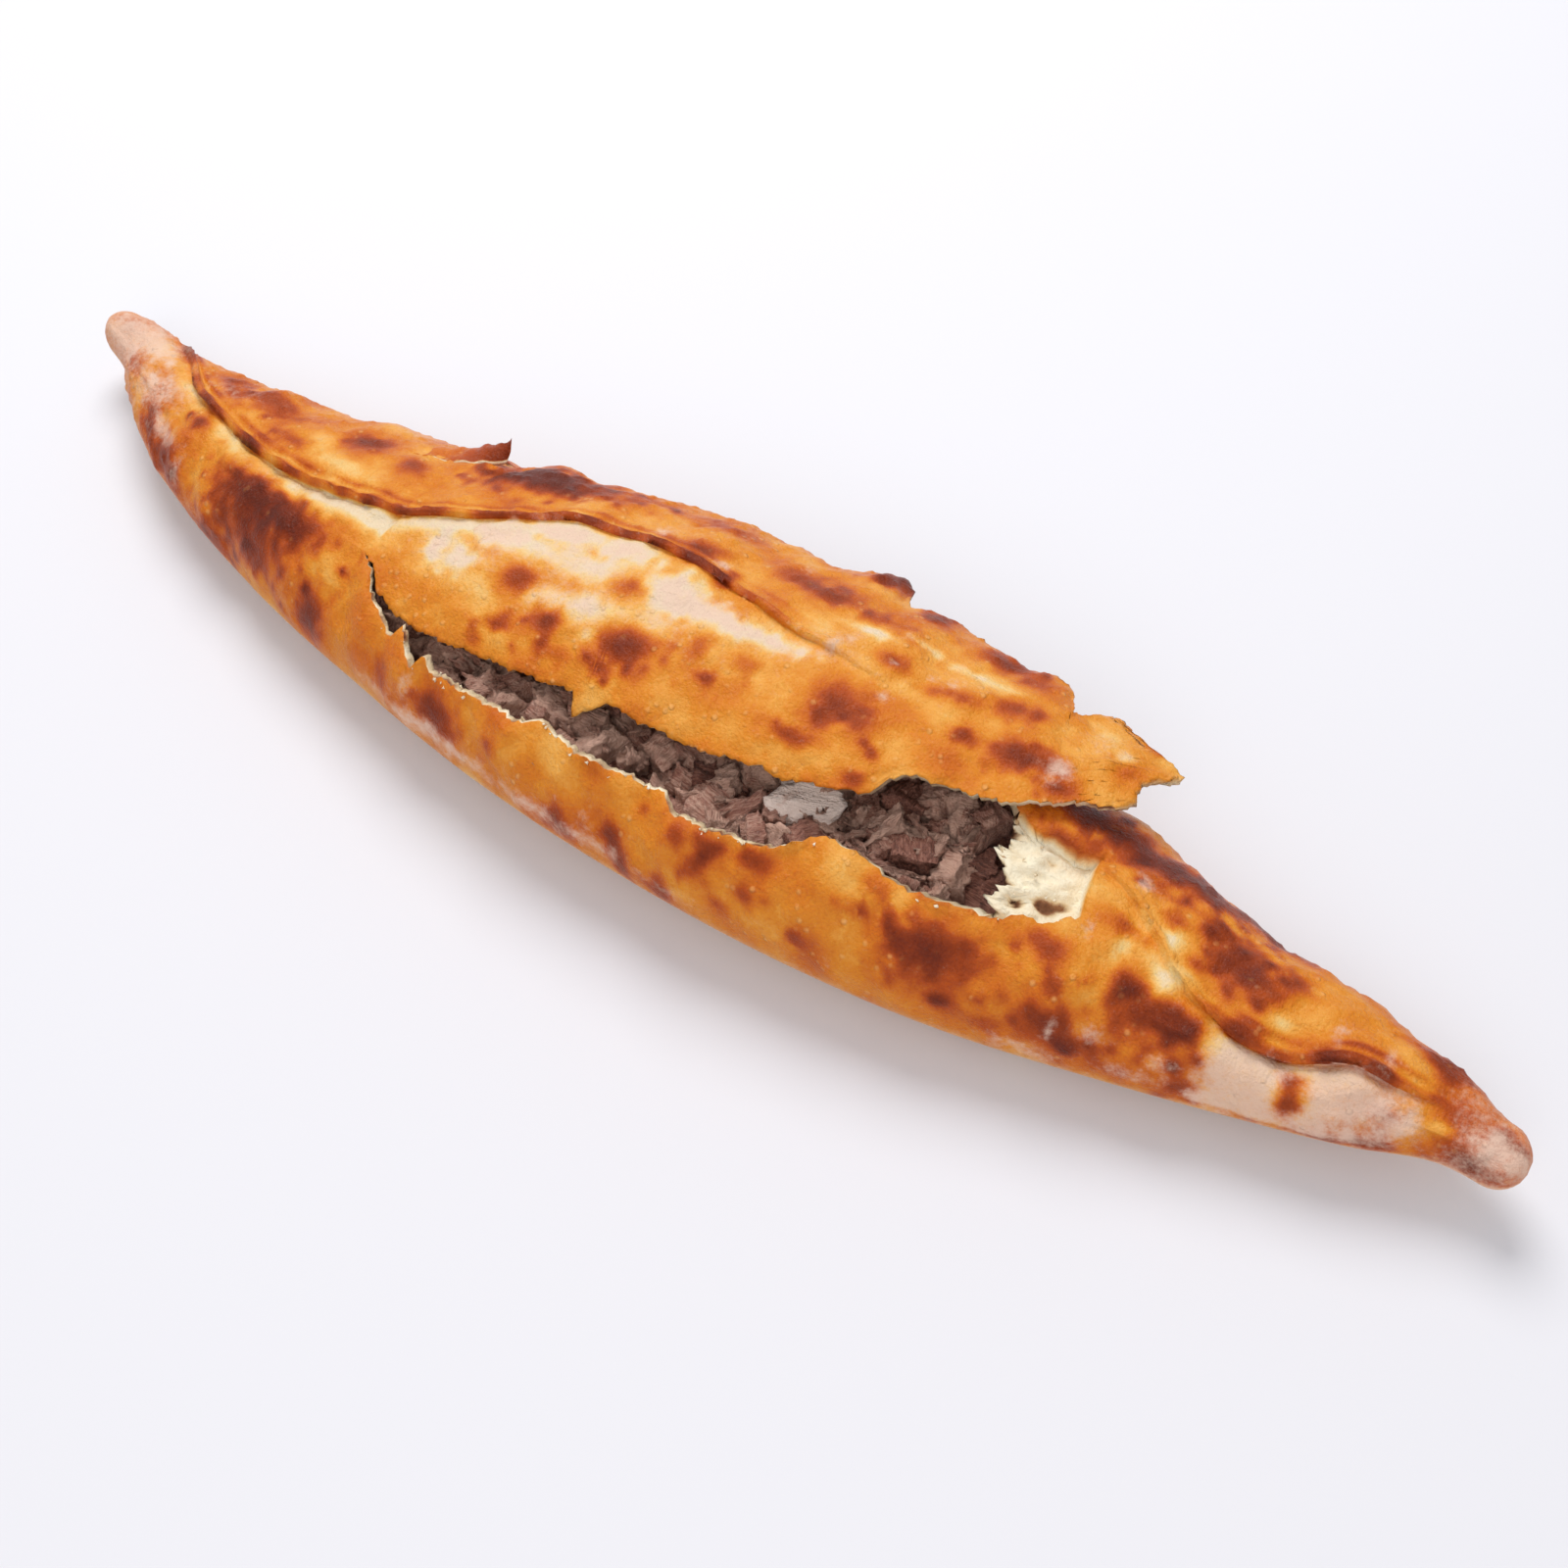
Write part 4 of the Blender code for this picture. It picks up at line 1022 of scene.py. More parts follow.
class Wiring:
    """Adds nodes to a tree and links them up."""

    def __init__(self, tree: bpy.types.NodeTree) -> None:
        """Keeps the tree."""
        self.tree = tree

    def feed(self, node: bpy.types.Node, inputs: dict[str | int, object]) -> None:
        """Links sockets to the inputs of a node, or sets their values, by name or index."""
        for key, value in inputs.items():
            if isinstance(value, bpy.types.NodeSocket):
                self.tree.links.new(value, node.inputs[key])
            else:
                node.inputs[key].default_value = value

    def add(
        self, kind: str, inputs: dict[str | int, object] | None = None, **settings: object
    ) -> bpy.types.Node:
        """Adds a node.

        Args:
            kind: Its type name.
            inputs: A value or an output socket for inputs by name or index.
            settings: Properties of the node.

        Returns:
            The node.
        """
        node = self.tree.nodes.new(kind)
        for key, value in settings.items():
            setattr(node, key, value)
        self.feed(node, inputs or {})
        return node

    def math(self, operation: str, first: object, second: object, clamp: bool = False) -> Socket:
        """Output of a Math node on two values or sockets."""
        inputs = {0: first, 1: second}
        return self.add("ShaderNodeMath", inputs, operation=operation, use_clamp=clamp).outputs[0]

    def plus(self, first: object, second: object, clamp: bool = False) -> Socket:
        """Sum of two values or sockets."""
        return self.math("ADD", first, second, clamp)

    def times(self, first: object, second: object) -> Socket:
        """Product of two values or sockets."""
        return self.math("MULTIPLY", first, second)

    def noise(self, vector: object, scale: object, detail: float = 3.0, rough: float = 0.55) -> Socket:
        """Noise between 0 and 1 at a vector."""
        inputs = {"Vector": vector, "Scale": scale, "Detail": detail, "Roughness": rough}
        return self.add("ShaderNodeTexNoise", inputs).outputs["Fac"]

    def uneven(self, vector: object, scale: float, detail: float, rough: float = 0.55) -> Socket:
        """Noise about zero at a vector."""
        return self.math("SUBTRACT", self.noise(vector, scale, detail, rough), 0.5)

    def spread(
        self, value: object, low: float, high: float, bottom: float = 0.0, top: float = 1.0
    ) -> Socket:
        """A value carried from low..high to bottom..top, held at both ends."""
        inputs = {0: value, 1: low, 2: high, 3: bottom, 4: top}
        return self.add("ShaderNodeMapRange", inputs, interpolation_type="SMOOTHSTEP").outputs[0]

    def blend(self, share: object, first: object, second: object) -> Socket:
        """Colour between two others."""
        node = self.add("ShaderNodeMix", {0: share, 6: first, 7: second}, data_type="RGBA")
        return node.outputs[2]

    def ramp(self, value: object, stops: Stops) -> Socket:
        """Colour read off a ramp of sRGB stops."""
        node = self.add("ShaderNodeValToRGB", {0: value})
        elements = node.color_ramp.elements
        elements[0].position, elements[0].color = stops[0][0], shade(stops[0][1])
        elements[1].position, elements[1].color = stops[-1][0], shade(stops[-1][1])
        for place, colour in stops[1:-1]:
            elements.new(place).color = shade(colour)
        return node.outputs[0]

    def read(self, name: str, output: str = "Fac") -> Socket:
        """An attribute of the mesh."""
        return self.add("ShaderNodeAttribute", attribute_name=name).outputs[output]

    def place(self) -> Socket:
        """Place on the object."""
        return self.add("ShaderNodeTexCoord").outputs["Object"]

    def bump(self, strength: float, distance: float, height: Socket) -> Socket:
        """Normal of a surface raised by a height."""
        inputs = {"Strength": strength, "Distance": distance, "Height": height}
        return self.add("ShaderNodeBump", inputs).outputs["Normal"]


def shade(colour: Colour) -> tuple[float, float, float, float]:
    """Linear colour for one given as 0 to 255 in sRGB."""
    linear = []
    for part in colour:
        share = part / 255
        linear.append(share / 12.92 if share <= 0.04045 else ((share + 0.055) / 1.055) ** 2.4)
    return (*linear, 1.0)


def plain_finish(name: str) -> tuple[bpy.types.Material, Wiring, bpy.types.Node]:
    """A new material, the wiring of its tree and its shader."""
    material = bpy.data.materials.new(name)
    material.use_nodes = True
    tree = material.node_tree
    return material, Wiring(tree), tree.nodes["Principled BSDF"]


@dataclass(frozen=True)
class BakedCrustFinish:
    """Skin of baked dough: pale and floury to golden, brown and burnt, with crumb showing where the skin is
    torn and painted highlights on its blisters.
    """

    baked: Stops = (
        (0.00, (230, 210, 176)),
        (0.14, (236, 196, 124)),
        (0.28, (233, 164, 72)),
        (0.40, (220, 134, 36)),
        (0.52, (205, 106, 24)),
        (0.66, (176, 74, 20)),
        (0.82, (142, 54, 12)),
        (0.94, (116, 40, 12)),
        (1.00, (98, 36, 18)),
    )
    # Crumb colours from fresh and pale to meat-stained brown; the darkest end is also painted shade in the
    # dents of the peeled shelf.
    crumb: Stops = (
        (0.0, (246, 234, 206)),
        (0.25, (228, 204, 164)),
        (0.5, (158, 112, 80)),
        (0.7, (92, 58, 44)),
        (1.0, (60, 38, 30)),
    )
    flour: Colour = (229, 196, 175)
    blister_glint: Colour = (244, 184, 112)
    broad_share: float = 0.30
    fine_share: float = 0.17
    blister_glint_share: float = 0.42
    most_flour: float = 0.86
    skin_roughness: float = 0.30
    powder_roughness: float = 0.85
    shine: float = 0.16

    def make(self) -> bpy.types.Material:
        """The material, reading bake, flour and crumb from the mesh."""
        material, wire, shader = plain_finish("baked_crust")
        place = wire.place()
        bake, powder, torn = (wire.read(look) for look in ("bake", "flour", "crumb"))
        broad = wire.uneven(place, 62, 3)
        mottle = wire.uneven(place, 270, 4, 0.62)
        speck = wire.uneven(place, 1300, 3, 0.6)
        total = wire.plus(bake, wire.times(broad, self.broad_share))
        total = wire.plus(total, wire.times(mottle, self.fine_share))
        total = wire.plus(total, wire.times(speck, self.fine_share), True)
        # Painted highlight: lighter golden glints on the small blister cells, fewer on dark crust; the same
        # cells also raise the blister bumps.
        cells = {"Vector": place, "Scale": 330.0, "Randomness": 1.0}
        blister = wire.add("ShaderNodeTexVoronoi", cells, feature="F1").outputs["Distance"]
        chosen = wire.spread(wire.noise(place, 120, 2), 0.52, 0.62)
        blister_glint = wire.times(wire.spread(blister, 0.34, 0.12), chosen)
        blister_glint = wire.times(blister_glint, wire.spread(total, 0.45, 0.85, 1.0, 0.2))
        skin = wire.blend(wire.times(blister_glint, self.blister_glint_share), wire.ramp(total, self.baked), shade(self.blister_glint))
        patchy = wire.times(wire.uneven(place, 640, 6, 0.72), 1.5)
        dusted = wire.spread(wire.plus(powder, patchy), 0.10, 1.10, 0.0, self.most_flour)
        skin = wire.blend(dusted, skin, shade(self.flour))
        # Crumb tone, with the painted shade of the shelf's holes coming in through the bake attribute.
        crumb_tone_and_hole_shade = wire.plus(bake, wire.times(mottle, 0.5))
        rough = wire.math("MAXIMUM", dusted, torn)
        height = wire.plus(wire.times(mottle, 0.8), wire.times(speck, 0.45))
        height = wire.plus(height, wire.times(blister_glint, 0.35))
        inputs = {
            "Base Color": wire.blend(torn, skin, wire.ramp(crumb_tone_and_hole_shade, self.crumb)),
            "Roughness": wire.spread(rough, 0.0, 1.0, self.skin_roughness, self.powder_roughness),
            "Normal": wire.bump(0.85, 0.0012, height),
            "Specular IOR Level": self.shine,
        }
        wire.feed(shader, inputs)
        return material


@dataclass(frozen=True)
class CrumbFinish:
    """Torn crumb of the dough: dry, pale and open."""

    light: Colour = (248, 238, 214)
    dark: Colour = (226, 196, 148)
    roughness: float = 0.9

    def make(self) -> bpy.types.Material:
        """The material of loose and clinging crumbs."""
        material, wire, shader = plain_finish("bread_crumb")
        share = wire.spread(wire.noise(wire.place(), 500, 4), 0.3, 0.7)
        inputs = {
            "Base Color": wire.blend(share, shade(self.dark), shade(self.light)),
            "Roughness": self.roughness,
            "Normal": wire.bump(0.5, 0.0005, share),
        }
        wire.feed(shader, inputs)
        return material


@dataclass(frozen=True)
class BraisedMeatFinish:
    """Braised meat: mauve brown, fibrous along each piece, moist, with a little pale fat."""

    lean: Stops = (
        (0.0, (58, 30, 22)),
        (0.3, (116, 70, 55)),
        (0.6, (166, 112, 94)),
        (1.0, (218, 174, 152)),
    )
    fat: Colour = (255, 232, 218)
    darkening: float = -0.30
    roughness: float = 0.40

    def make(self) -> bpy.types.Material:
        """The material, reading the grain, tone and fat of each piece from the mesh; the core's dark tone
        is painted shade.
        """
        material, wire, shader = plain_finish("braised_meat")
        place = wire.place()
        stretch = {"Vector": wire.read("grain", "Vector"), "Scale": (0.5, 5.5, 5.5)}
        fibre = wire.noise(wire.add("ShaderNodeMapping", stretch).outputs[0], 1.6, 4, 0.65)
        cloud = wire.noise(place, 210, 3)
        share = wire.plus(wire.times(fibre, 1.5), wire.times(cloud, 0.7))
        share = wire.plus(wire.plus(share, wire.read("tone")), self.darkening)
        white = wire.times(wire.read("fat"), wire.spread(wire.noise(place, 260, 3), 0.22, 0.42))
        height = wire.plus(fibre, wire.times(wire.noise(place, 1500, 3), 0.5))
        inputs = {
            "Base Color": wire.blend(white, wire.ramp(share, self.lean), shade(self.fat)),
            "Roughness": self.roughness,
            "Normal": wire.bump(0.9, 0.0014, height),
        }
        wire.feed(shader, inputs)
        return material


class ScatterTree:
    """A Geometry Nodes tree that sets shapes on points and turns them into one mesh."""

    def __init__(self, name: str, sizes: tuple[tuple[str, str, object], ...]) -> None:
        """Makes the tree and its inputs.

        Args:
            name: Name of the tree.
            sizes: Name, socket type and value of each input after the geometry.
        """
        self.tree = bpy.data.node_groups.new(name, "GeometryNodeTree")
        face = self.tree.interface
        face.new_socket("Geometry", in_out="INPUT", socket_type="NodeSocketGeometry")
        self.values = {}
        for label, kind, value in sizes:
            socket = face.new_socket(label, in_out="INPUT", socket_type=kind)
            self.values[socket.identifier] = value
        face.new_socket("Geometry", in_out="OUTPUT", socket_type="NodeSocketGeometry")
        self.wire = Wiring(self.tree)
        self.start = self.wire.add("NodeGroupInput")

    def finish(self, geometry: object) -> None:
        """Ends the tree in real geometry with smooth faces and its material."""
        real = self.wire.add("GeometryNodeRealizeInstances", {0: geometry}).outputs[0]
        rounded = self.wire.add("GeometryNodeSetShadeSmooth", {"Geometry": real}).outputs[0]
        inputs = {"Geometry": rounded, "Material": self.start.outputs["Material"]}
        self.wire.add("NodeGroupOutput", {0: self.wire.add("GeometryNodeSetMaterial", inputs).outputs[0]})

    def vector(self, name: str) -> Socket:
        """A vector stored on the points."""
        kind = "GeometryNodeInputNamedAttribute"
        return self.wire.add(kind, {"Name": name}, data_type="FLOAT_VECTOR").outputs["Attribute"]

    def scattered(self) -> Socket:
        """One of the shapes on each point, turned and sized as the point's attributes say."""
        wire, outputs = self.wire, self.start.outputs
        parts = {"Collection": outputs["Shapes"], "Separate Children": True, "Reset Children": True}
        pick = wire.add("FunctionNodeRandomValue", {"Seed": outputs["Seed"], 4: 0, 5: 63}, data_type="INT")
        inputs = {
            "Points": wire.add("GeometryNodeMeshToPoints", {"Mesh": outputs["Geometry"]}).outputs[0],
            "Instance": wire.add("GeometryNodeCollectionInfo", parts).outputs[0],
            "Pick Instance": True,
            "Instance Index": pick.outputs[2],
            "Rotation": self.vector("turn"),
            "Scale": self.vector("half"),
        }
        return wire.add("GeometryNodeInstanceOnPoints", inputs).outputs[0]

    def run(self, host: bpy.types.Object) -> bpy.types.Mesh:
        """Runs the tree on an object.

        Args:
            host: Object whose mesh holds the points.

        Returns:
            The result as a plain mesh; the modifier is removed.
        """
        modifier = host.modifiers.new("Scatter", "NODES")
        modifier.node_group = self.tree
        for identifier, value in self.values.items():
            modifier[identifier] = value
        graph = bpy.context.evaluated_depsgraph_get()
        result = bpy.data.meshes.new_from_object(host.evaluated_get(graph))
        host.modifiers.clear()
        return result


def hidden_collection(name: str, objects: list[bpy.types.Object]) -> bpy.types.Collection:
    """A collection that only the trees use, outside the scene."""
    made = bpy.data.collections.new(name)
    for one in objects:
        made.objects.link(one)
    return made


def rough_block(name: str, cuts: int, seed: int, wander: float, taper: float) -> bpy.types.Object:
    """A rough lump about two units wide that stands for one cut piece.

    Args:
        name: Name of the object.
        cuts: How often each side is cut.
        seed: Seed of its shape.
        wander: How far its surface wanders.
        taper: How much its corners are drawn in.

    Returns:
        The object, with its own place stored as the attribute grain.
    """
    work = bmesh.new()
    bmesh.ops.create_cube(work, size=2)
    bmesh.ops.subdivide_edges(work, edges=work.edges, cuts=cuts, use_grid_fill=True)
    wave = Waves(seed, 1.5)
    fine = Waves(seed + 50, 0.7)
    draw = np.random.default_rng(seed)
    lean = draw.uniform(-0.22, 0.22, size=(3, 3)) + np.eye(3)
    for vertex in work.verts:
        corner = np.array(vertex.co)
        rounded = corner * (1 - taper * (np.sum(corner**2) - 1) / 2)
        push = wander * wave.at(rounded) + 0.4 * wander * fine.at(rounded)
        rounded = lean @ (rounded * (1 + push))
        vertex.co = Vector(rounded)
    mesh = bpy.data.meshes.new(name)
    bmesh.ops.recalc_face_normals(work, faces=work.faces)
    work.to_mesh(mesh)
    work.free()
    store(mesh, "grain", np.array([vertex.co for vertex in mesh.vertices], np.float32) + 3 * seed)
    return bpy.data.objects.new(name, mesh)


@dataclass
class MeatFilling:
    """The diced braised meat: a packed core with rough dice, shreds and one piece of fat on top."""

    form: LoafForm
    gap: float = 0.0018
    level: float = 0.0260
    share: float = 0.74
    left: float = -0.147
    right: float = 0.113
    sides: int = 40
    core_stations: int = 130
    # Painted shade: the core is given a dark tone so the gaps between the dice read as shaded.
    core_painted_shade: float = -0.35
    spacing: float = 0.0072
    dice_half: tuple[float, float] = (0.0028, 0.0050)
    clearance: float = 0.0010
    shown_reach: float = 0.012
    highest: float = 0.0345
    shreds: int = 190
    fat_place: tuple[float, float, float] = (0.0553, -0.0176, 0.0288)
    fat_half: float = 0.0086
    seed: int = 31

    def top(self, x: np.ndarray, y: np.ndarray) -> np.ndarray:
        """Level of the settled meat: uneven, and lower where the hollow narrows."""
        _, _, low, high = self.form.hollow(x, self.form.wall)
        level = np.minimum(self.level, low + self.share * (high - low))
        level = level + 0.0009 * np.sin(270 * x + 1.0) * np.cos(190 * y)
        return level + 0.0006 * np.sin(430 * x - 260 * y)

    def core(self, finish: bpy.types.Material) -> bpy.types.Mesh:
        """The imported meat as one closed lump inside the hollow."""
        half_top = self.sides // 2 + 3
        over = 180 * np.arange(half_top + 1) / half_top
        under = 180 + 180 * np.arange(1, self.sides - half_top) / (self.sides - half_top)
        angles = np.concatenate([over, under])[None, :]
        share = (np.arange(1, self.core_stations) / self.core_stations)[:, None]
        x = self.left + (self.right - self.left) * share
        centre, half, low, high = self.form.hollow(x, self.form.wall)
        end = 1 - np.abs(2 * share - 1) ** 14
        lowest = low + self.gap + 0.004 * (1 - end)
        sizes = (centre, (half - self.gap) * np.sqrt(end), lowest, high - self.gap)
        ring = self.form.ring(x, angles, sizes)
        lid = self.top(x, ring[..., 1])
        clods = 0.0011 * Waves(21, 0.009).at(ring) + 0.0005 * Waves(22, 0.004).at(ring)
        ring[..., 2] = np.minimum(ring[..., 2], lid + clods)
        ends = np.stack([ring[0].mean(axis=0), ring[-1].mean(axis=0)])
        shell = Shell()
        blank = np.zeros(ring.shape[:2])
        rows = shell.add(Skin(ring, blank, blank, blank))
        poles = shell.add(Skin(ends, np.zeros(2), np.zeros(2), np.zeros(2))).tolist()
        rows = np.concatenate([rows, rows[:, :1]], axis=1)
        shell.grid(rows, True)
        shell.fan(poles[0], rows[0], False)
        shell.fan(poles[1], rows[-1], True)
        mesh = shell.mesh("meat_core")
        store(mesh, "grain", np.array([vertex.co for vertex in mesh.vertices], np.float32) * 230)
        # Painted shade: one dark tone over the whole core, seen in the gaps between the dice.
        store(mesh, "tone", np.full(len(mesh.vertices), self.core_painted_shade))
        mesh.materials.append(finish)
        return mesh

    def fits(self, places: np.ndarray, half: np.ndarray) -> np.ndarray:
        """True for pieces of a half size that stay inside the hollow and under the lid."""
        x = places[:, 0]
        centre, width, low, high = self.form.hollow(x, self.form.wall)
        reach = half * 1.15 + self.clearance
        belt = low + self.form.belly_share * (high - low)
        across = (places[:, 1] - centre) / np.maximum(width - reach, 0.001)
        up = np.maximum(places[:, 2] - belt, 0) / np.maximum(high - belt - reach, 0.001)
        inside = (across**2 + up**2 < 1) & (places[:, 2] + half < self.highest)
        return inside & (x + half < self.form.tear_right + 0.002)

    def pieces(self) -> dict[str, np.ndarray]:
        """Place, turn, half sizes, tone and fat of every piece that shows."""
        draw = np.random.default_rng(self.seed)
        form = self.form
        along = np.arange(form.tear_left + 0.001, form.tear_right, self.spacing)
        across = np.arange(-0.050, 0.045, self.spacing)
        rows = []
        for layer in range(2):
            grid_x, grid_y = np.meshgrid(along, across, indexing="ij")
            flat = np.stack([grid_x.ravel(), grid_y.ravel()], -1) + 0.5 * layer * self.spacing
            flat = flat + draw.uniform(-0.0024, 0.0024, size=flat.shape)
            lift = draw.uniform(-0.0015, 0.0016, size=len(flat)) + 0.0022 * layer
            level = self.top(flat[:, 0], flat[:, 1]) + lift
            half = draw.uniform(*self.dice_half, size=len(flat))
            kept = draw.uniform(size=len(flat)) < (1.0 if layer == 0 else 0.55)
            places = np.column_stack([flat, level])
            sides = half[:, None] * draw.uniform(0.72, 1.18, size=(len(flat), 3))
            centre, _, _, _ = form.hollow(places[:, 0], form.wall)
            fit = kept & self.fits(places, half) & (flat[:, 1] < centre + self.shown_reach)
            tone = draw.normal(0, 0.16, size=len(flat))
            turn = draw.uniform((-0.6, -0.6, 0), (0.6, 0.6, math.pi), size=(len(flat), 3))
            rows.append(np.column_stack([places, turn, sides, tone, 0 * tone])[fit])
        x = draw.uniform(form.tear_left + 0.006, form.tear_right - 0.006, size=self.shreds)
        centre, width, _, _ = form.hollow(x, form.wall)
        y = centre + draw.uniform(-0.85, 0.5, size=self.shreds) * (width - 0.008)
        length = draw.uniform(0.003, 0.0062, size=self.shreds)
        places = np.column_stack([x, y, self.top(x, y) + draw.uniform(0.003, 0.0058, size=self.shreds)])
        thick = draw.uniform(0.0005, 0.0010, size=(self.shreds, 2))
        turn = draw.uniform((-0.4, -0.5, 0), (0.4, 0.5, math.pi), size=(self.shreds, 3))
        tone = draw.normal(0.08, 0.10, size=self.shreds)
        shreds = np.column_stack([places, turn, length, thick, tone, 0 * tone])
        rows.append(shreds[self.fits(places, length * 0.8)])
        half = self.fat_half
        rows.append(np.array([[*self.fat_place, 0.1, 0.2, 0.5, half, half * 0.72, half * 0.62, 0.3, 1.0]]))
        table = np.concatenate(rows)
        return {
            "place": table[:, 0:3],
            "turn": table[:, 3:6],
            "half": table[:, 6:9],
            "tone": table[:, 9],
            "fat": table[:, 10],
        }

    def tree(self, blocks: bpy.types.Collection, finish: bpy.types.Material) -> ScatterTree:
        """The tree that sets a rough block on each point and frays its surface."""
        sizes = (
            ("Shapes", "NodeSocketCollection", blocks),
            ("Material", "NodeSocketMaterial", finish),
            ("Fray", "NodeSocketFloat", 0.0021),
            ("Fray Scale", "NodeSocketFloat", 520.0),
            ("Fineness", "NodeSocketInt", 2),
            ("Seed", "NodeSocketInt", self.seed),
        )
        made = ScatterTree("diced_meat", sizes)
        wire, outputs = made.wire, made.start.outputs
        real = wire.add("GeometryNodeRealizeInstances", {0: made.scattered()}).outputs[0]
        cut = {"Mesh": real, "Level": outputs["Fineness"]}
        fine = wire.add("GeometryNodeSubdivideMesh", cut).outputs[0]
        place = wire.add("GeometryNodeInputPosition").outputs[0]
        noise = wire.noise(place, outputs["Fray Scale"], 3.0, 0.6)
        push = wire.times(wire.math("SUBTRACT", noise, 0.55), outputs["Fray"])
        facing = wire.add("GeometryNodeInputNormal").outputs[0]
        shift = {0: facing, "Scale": wire.times(push, 2.0)}
        offset = wire.add("ShaderNodeVectorMath", shift, operation="SCALE").outputs[0]
        frayed = wire.add("GeometryNodeSetPosition", {"Geometry": fine, "Offset": offset}).outputs[0]
        made.finish(frayed)
        return made

    def build(self, finish: bpy.types.Material) -> list[bpy.types.Object]:
        """The filling as its two pieces, the core and the dice.

        Args:
            finish: Material of the meat.

        Returns:
            The objects, at the origin.
        """
        table = self.pieces()
        points = bpy.data.meshes.new("diced_meat_points")
        points.from_pydata(table["place"].tolist(), [], [])
        for name in ("turn", "half", "tone", "fat"):
            store(points, name, table[name])
        host = in_scene("diced_meat", points)
        blocks = [rough_block(f"meat_block_{k}", 2, 60 + k, 0.15, 0.07) for k in range(7)]
        shapes = hidden_collection("meat_blocks", blocks)
        host.data = self.tree(shapes, finish).run(host)
        host.data.name = "diced_meat"
        core = in_scene("meat_core", self.core(finish))
        LOG.info("%d pieces of meat, %d faces", len(table["tone"]), len(host.data.polygons))
        return [core, host]


@dataclass
class CurledFlake:
    """The pointed flake of burnt crust that curls up at the far side, by the root of the lid."""

    form: LoafForm
    root: float = -0.101
    point: float = -0.0755
    angle: float = 126.0
    drift: float = 9.0
    half_angle: float = 12.0
    lift: float = 0.0056
    thickness: float = 0.0009
    steps: int = 26
    columns: int = 14

    def sheet(self, offset: float) -> np.ndarray:
        """Points of the flake at an offset from its top, lifted off the loaf towards the point."""
        share = np.linspace(0, 1, self.steps)[:, None]
        aside = np.linspace(-1, 1, self.columns)[None, :]
        x = self.root + (self.point - self.root) * share + 0 * aside
        width = self.half_angle * (1 - share) ** 0.7 + 0.4
        width = width * (1 + 0.10 * np.sin(23 * share + 3 * aside))
        turn = self.angle + self.drift * share + width * aside
        base = self.form.outer(x, turn)
        height = -0.0004 + self.lift * share**1.6 * (0.5 + 0.55 * (aside + 1)) + offset
        height = height + 0.0003 * Waves(41, 0.005).at(base)
        return base + self.form.normal(x, turn) * height[..., None]

    def build(self, finish: bpy.types.Material) -> bpy.types.Object:
        """The flake as one closed piece.

        Args:
            finish: Material of the crust.

        Returns:
            The object, at the origin.
        """
        share = np.linspace(0, 1, self.steps)[:, None] + np.zeros((1, self.columns))
        aside = np.linspace(-1, 1, self.columns)[None, :]
        pale = (share > 0.3) & (aside < -0.95)
        top = Skin(self.sheet(0.0), 0.44 + 0.52 * share**1.5, 0 * share, 1.0 * pale)
        top.bake = np.where(pale, 0.10, top.bake)
        below = Skin(self.sheet(-self.thickness), 0.08 + 0 * share, 0 * share, 1 + 0 * share)
        shell = Shell()
        over = shell.add(top)
        under = shell.add(below)
        ring = np.concatenate([over, under[:, ::-1], over[:, :1]], axis=1)
        shell.grid(ring, True)
        ends = np.stack([self.sheet(-self.thickness / 2)[k].mean(axis=0) for k in (0, -1)])
        ends[1, 0] += 0.0006
        first, last = shell.add(Skin(ends, np.full(2, 0.6), np.zeros(2), np.zeros(2))).tolist()
        shell.fan(first, ring[0], False)
        shell.fan(last, ring[-1], True)
        mesh = shell.mesh("curled_flake")
        work = bmesh.new()
        work.from_mesh(mesh)
        bmesh.ops.recalc_face_normals(work, faces=work.faces)
        work.to_mesh(mesh)
        work.free()
        mesh.materials.append(finish)
        return in_scene("curled_flake", mesh)


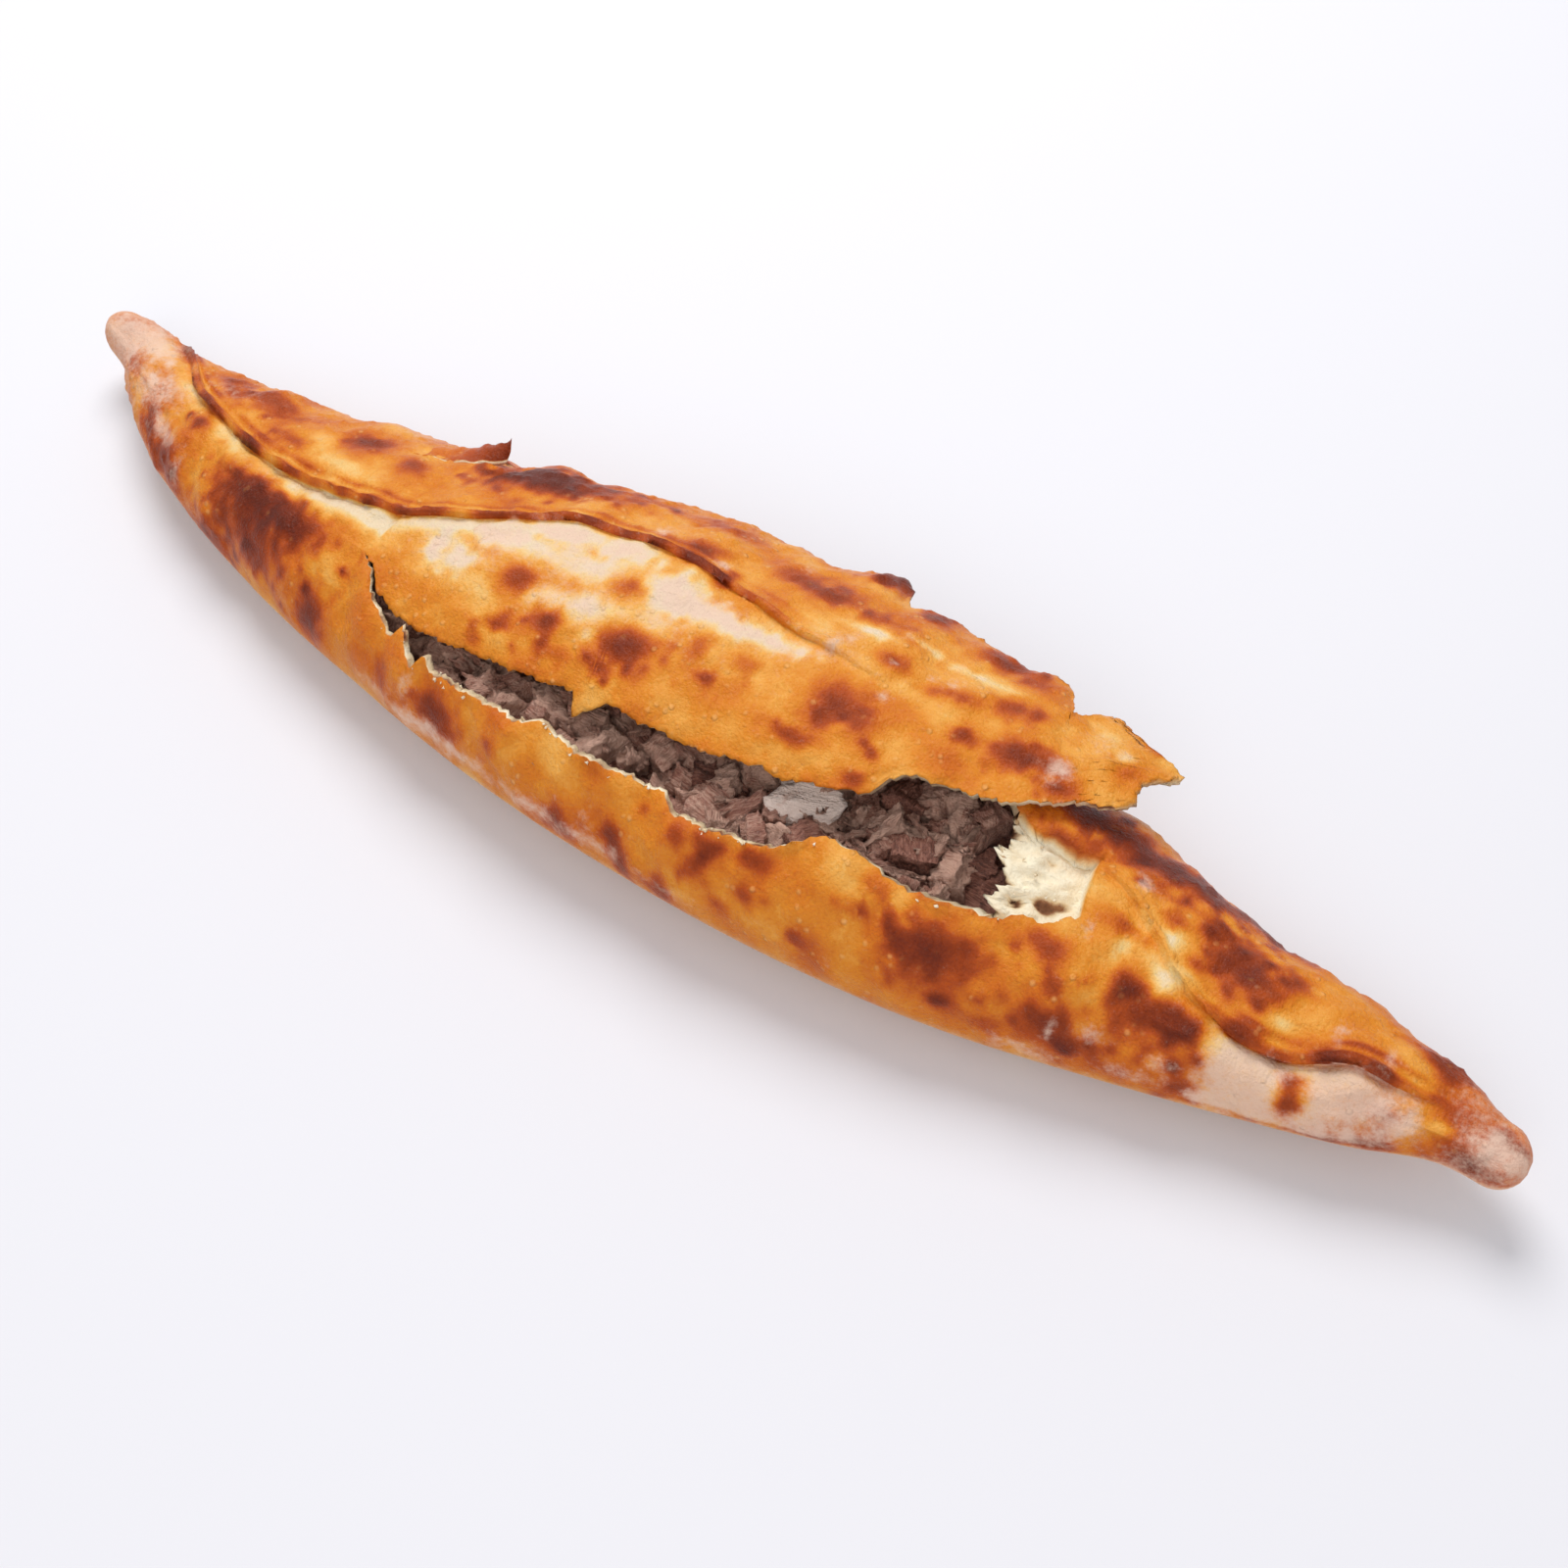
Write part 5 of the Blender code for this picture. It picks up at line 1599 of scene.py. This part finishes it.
@dataclass
class CrumbFlakes:
    """Loose crumbs and flakes that cling along the torn edges."""

    crust: TornCrust
    count: int = 54
    seed: int = 17
    sizes: tuple[float, float] = (0.00018, 0.0004)

    def places(self) -> np.ndarray:
        """Points on the torn edges and on the crumb shelf, in metres."""
        draw = np.random.default_rng(self.seed)
        form = self.crust.form
        x = draw.uniform(form.tear_left + 0.012, form.peel_right - 0.004, size=self.count)
        near = straight(self.crust.near_line, x) + draw.normal(0, 1.2, size=self.count) - 1.0
        on_edge = form.outer(form.slanted(x, near), near)
        on_shelf = draw.uniform(size=self.count) < 0.15
        shelf_x = draw.uniform(form.tear_right + 0.002, form.peel_right - 0.003, size=self.count)
        turn = draw.uniform(70, 100, size=self.count)
        sunk = form.outer(form.slanted(shelf_x, turn), turn, form.peel_depth)
        return np.where(on_shelf[:, None], sunk, on_edge)

    def build(self, finish: bpy.types.Material) -> bpy.types.Object:
        """The crumbs as one piece.

        Args:
            finish: Material of the crumb.

        Returns:
            The object, at the origin.
        """
        draw = np.random.default_rng(self.seed + 1)
        places = self.places()
        points = bpy.data.meshes.new("crumb_points")
        points.from_pydata(places.tolist(), [], [])
        count = len(places)
        size = draw.uniform(*self.sizes, size=(count, 1)) * draw.uniform(0.6, 1.5, size=(count, 3))
        turn = draw.uniform(0, math.tau, size=(count, 3))
        store(points, "half", size)
        store(points, "turn", turn)
        host = in_scene("crumb_flakes", points)
        shapes = [rough_block(f"crumb_block_{k}", 1, 90 + k, 0.3, 0.3) for k in range(4)]
        sizes = (
            ("Shapes", "NodeSocketCollection", hidden_collection("crumb_blocks", shapes)),
            ("Material", "NodeSocketMaterial", finish),
            ("Seed", "NodeSocketInt", self.seed),
        )
        made = ScatterTree("crumb_scatter", sizes)
        made.finish(made.scattered())
        host.data = made.run(host)
        host.data.name = "crumb_flakes"
        return host


@dataclass(frozen=True)
class FloorFinish:
    """Plain pale floor."""

    colour: Colour = (228, 227, 231)

    def make(self) -> bpy.types.Material:
        """The material of the floor."""
        material, wire, shader = plain_finish("pale_floor")
        inputs = {"Base Color": shade(self.colour), "Roughness": 0.7, "Specular IOR Level": 0.2}
        wire.feed(shader, inputs)
        return material


@dataclass(frozen=True)
class Lamp:
    """One soft area light, aimed at a point."""

    name: str
    place: tuple[float, float, float]
    aim: tuple[float, float, float]
    size: float
    power: float
    colour: Colour = (255, 255, 255)

    def make(self) -> None:
        """Puts the light in the scene."""
        light = bpy.data.lights.new(self.name, "AREA")
        light.shape = "DISK"
        light.size = self.size
        light.energy = self.power
        light.color = shade(self.colour)[:3]
        made = in_scene(self.name, light)
        made.location = self.place
        heading = Vector(self.aim) - Vector(self.place)
        made.rotation_mode = "QUATERNION"
        made.rotation_quaternion = heading.to_track_quat("-Z", "Y")


@dataclass
class Studio:
    """Pale floor, soft lights and the camera."""

    floor_half: float = 3.0
    camera_place: tuple[float, float, float] = (0.2333, -0.2319, 0.4037)
    camera_turn: tuple[float, float, float] = (37.327, 1.920, 38.050)
    lens: float = 45.49
    world: Colour = (250, 251, 255)
    world_strength: float = 0.54
    lamps: tuple[Lamp, ...] = (
        Lamp("key_light", (-0.50, 0.55, 1.15), (0.0, 0.0, 0.02), 0.9, 13.0),
        Lamp("fill_light", (0.55, -0.85, 0.9), (0.0, 0.0, 0.02), 1.0, 5.0),
    )

    def build(self) -> None:
        """Sets up the floor, the lights, the world and the camera."""
        half = self.floor_half
        mesh = bpy.data.meshes.new("pale_floor")
        corners = [(-half, -half, 0.0), (half, -half, 0.0), (half, half, 0.0), (-half, half, 0.0)]
        mesh.from_pydata(corners, [], [(0, 1, 2, 3)])
        mesh.materials.append(FloorFinish().make())
        floor = in_scene("pale_floor", mesh)
        for lamp in self.lamps:
            lamp.make()
        world = bpy.data.worlds.new("soft_room")
        world.use_nodes = True
        background = world.node_tree.nodes["Background"]
        background.inputs["Color"].default_value = shade(self.world)
        background.inputs["Strength"].default_value = self.world_strength
        bpy.context.scene.world = world
        bpy.context.scene.view_settings.view_transform = "Standard"
        self.camera()

    def camera(self) -> None:
        """The camera at the photograph's viewing angle."""
        data = bpy.data.cameras.new("camera")
        data.sensor_width = 36.0
        data.lens = self.lens
        data.clip_start = 0.01
        camera = in_scene("camera", data)
        camera.location = self.camera_place
        turn = [math.radians(angle) for angle in self.camera_turn]
        camera.rotation_euler = Euler(turn, "XYZ")
        bpy.context.scene.camera = camera


def take(piece: bpy.types.Object, node: str) -> None:
    """Sets a piece in the frame.

    Args:
        piece: The finished piece.
        node: The CAD node that it stands for.
    """
    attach(piece, "root")
    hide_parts(node)
    triangles = sum(len(polygon.vertices) - 2 for polygon in piece.data.polygons)
    LOG.info("%s: %d triangles", piece.name, triangles)


def main() -> None:
    """Builds the pide piece by piece, then the studio round it."""
    logging.basicConfig(level=logging.INFO, format="%(name)s: %(message)s")
    form = LoafForm()
    dough = TornCrust(form)
    baked = BakedCrustFinish().make()
    take(dough.build(baked), "crust")
    take(CurledFlake(form).build(baked), "crust")
    take(CrumbFlakes(dough).build(CrumbFinish().make()), "crust")
    for piece in MeatFilling(form).build(BraisedMeatFinish().make()):
        take(piece, "kavurma_filling")
    Studio().build()


if __name__ == "__main__":
    main()
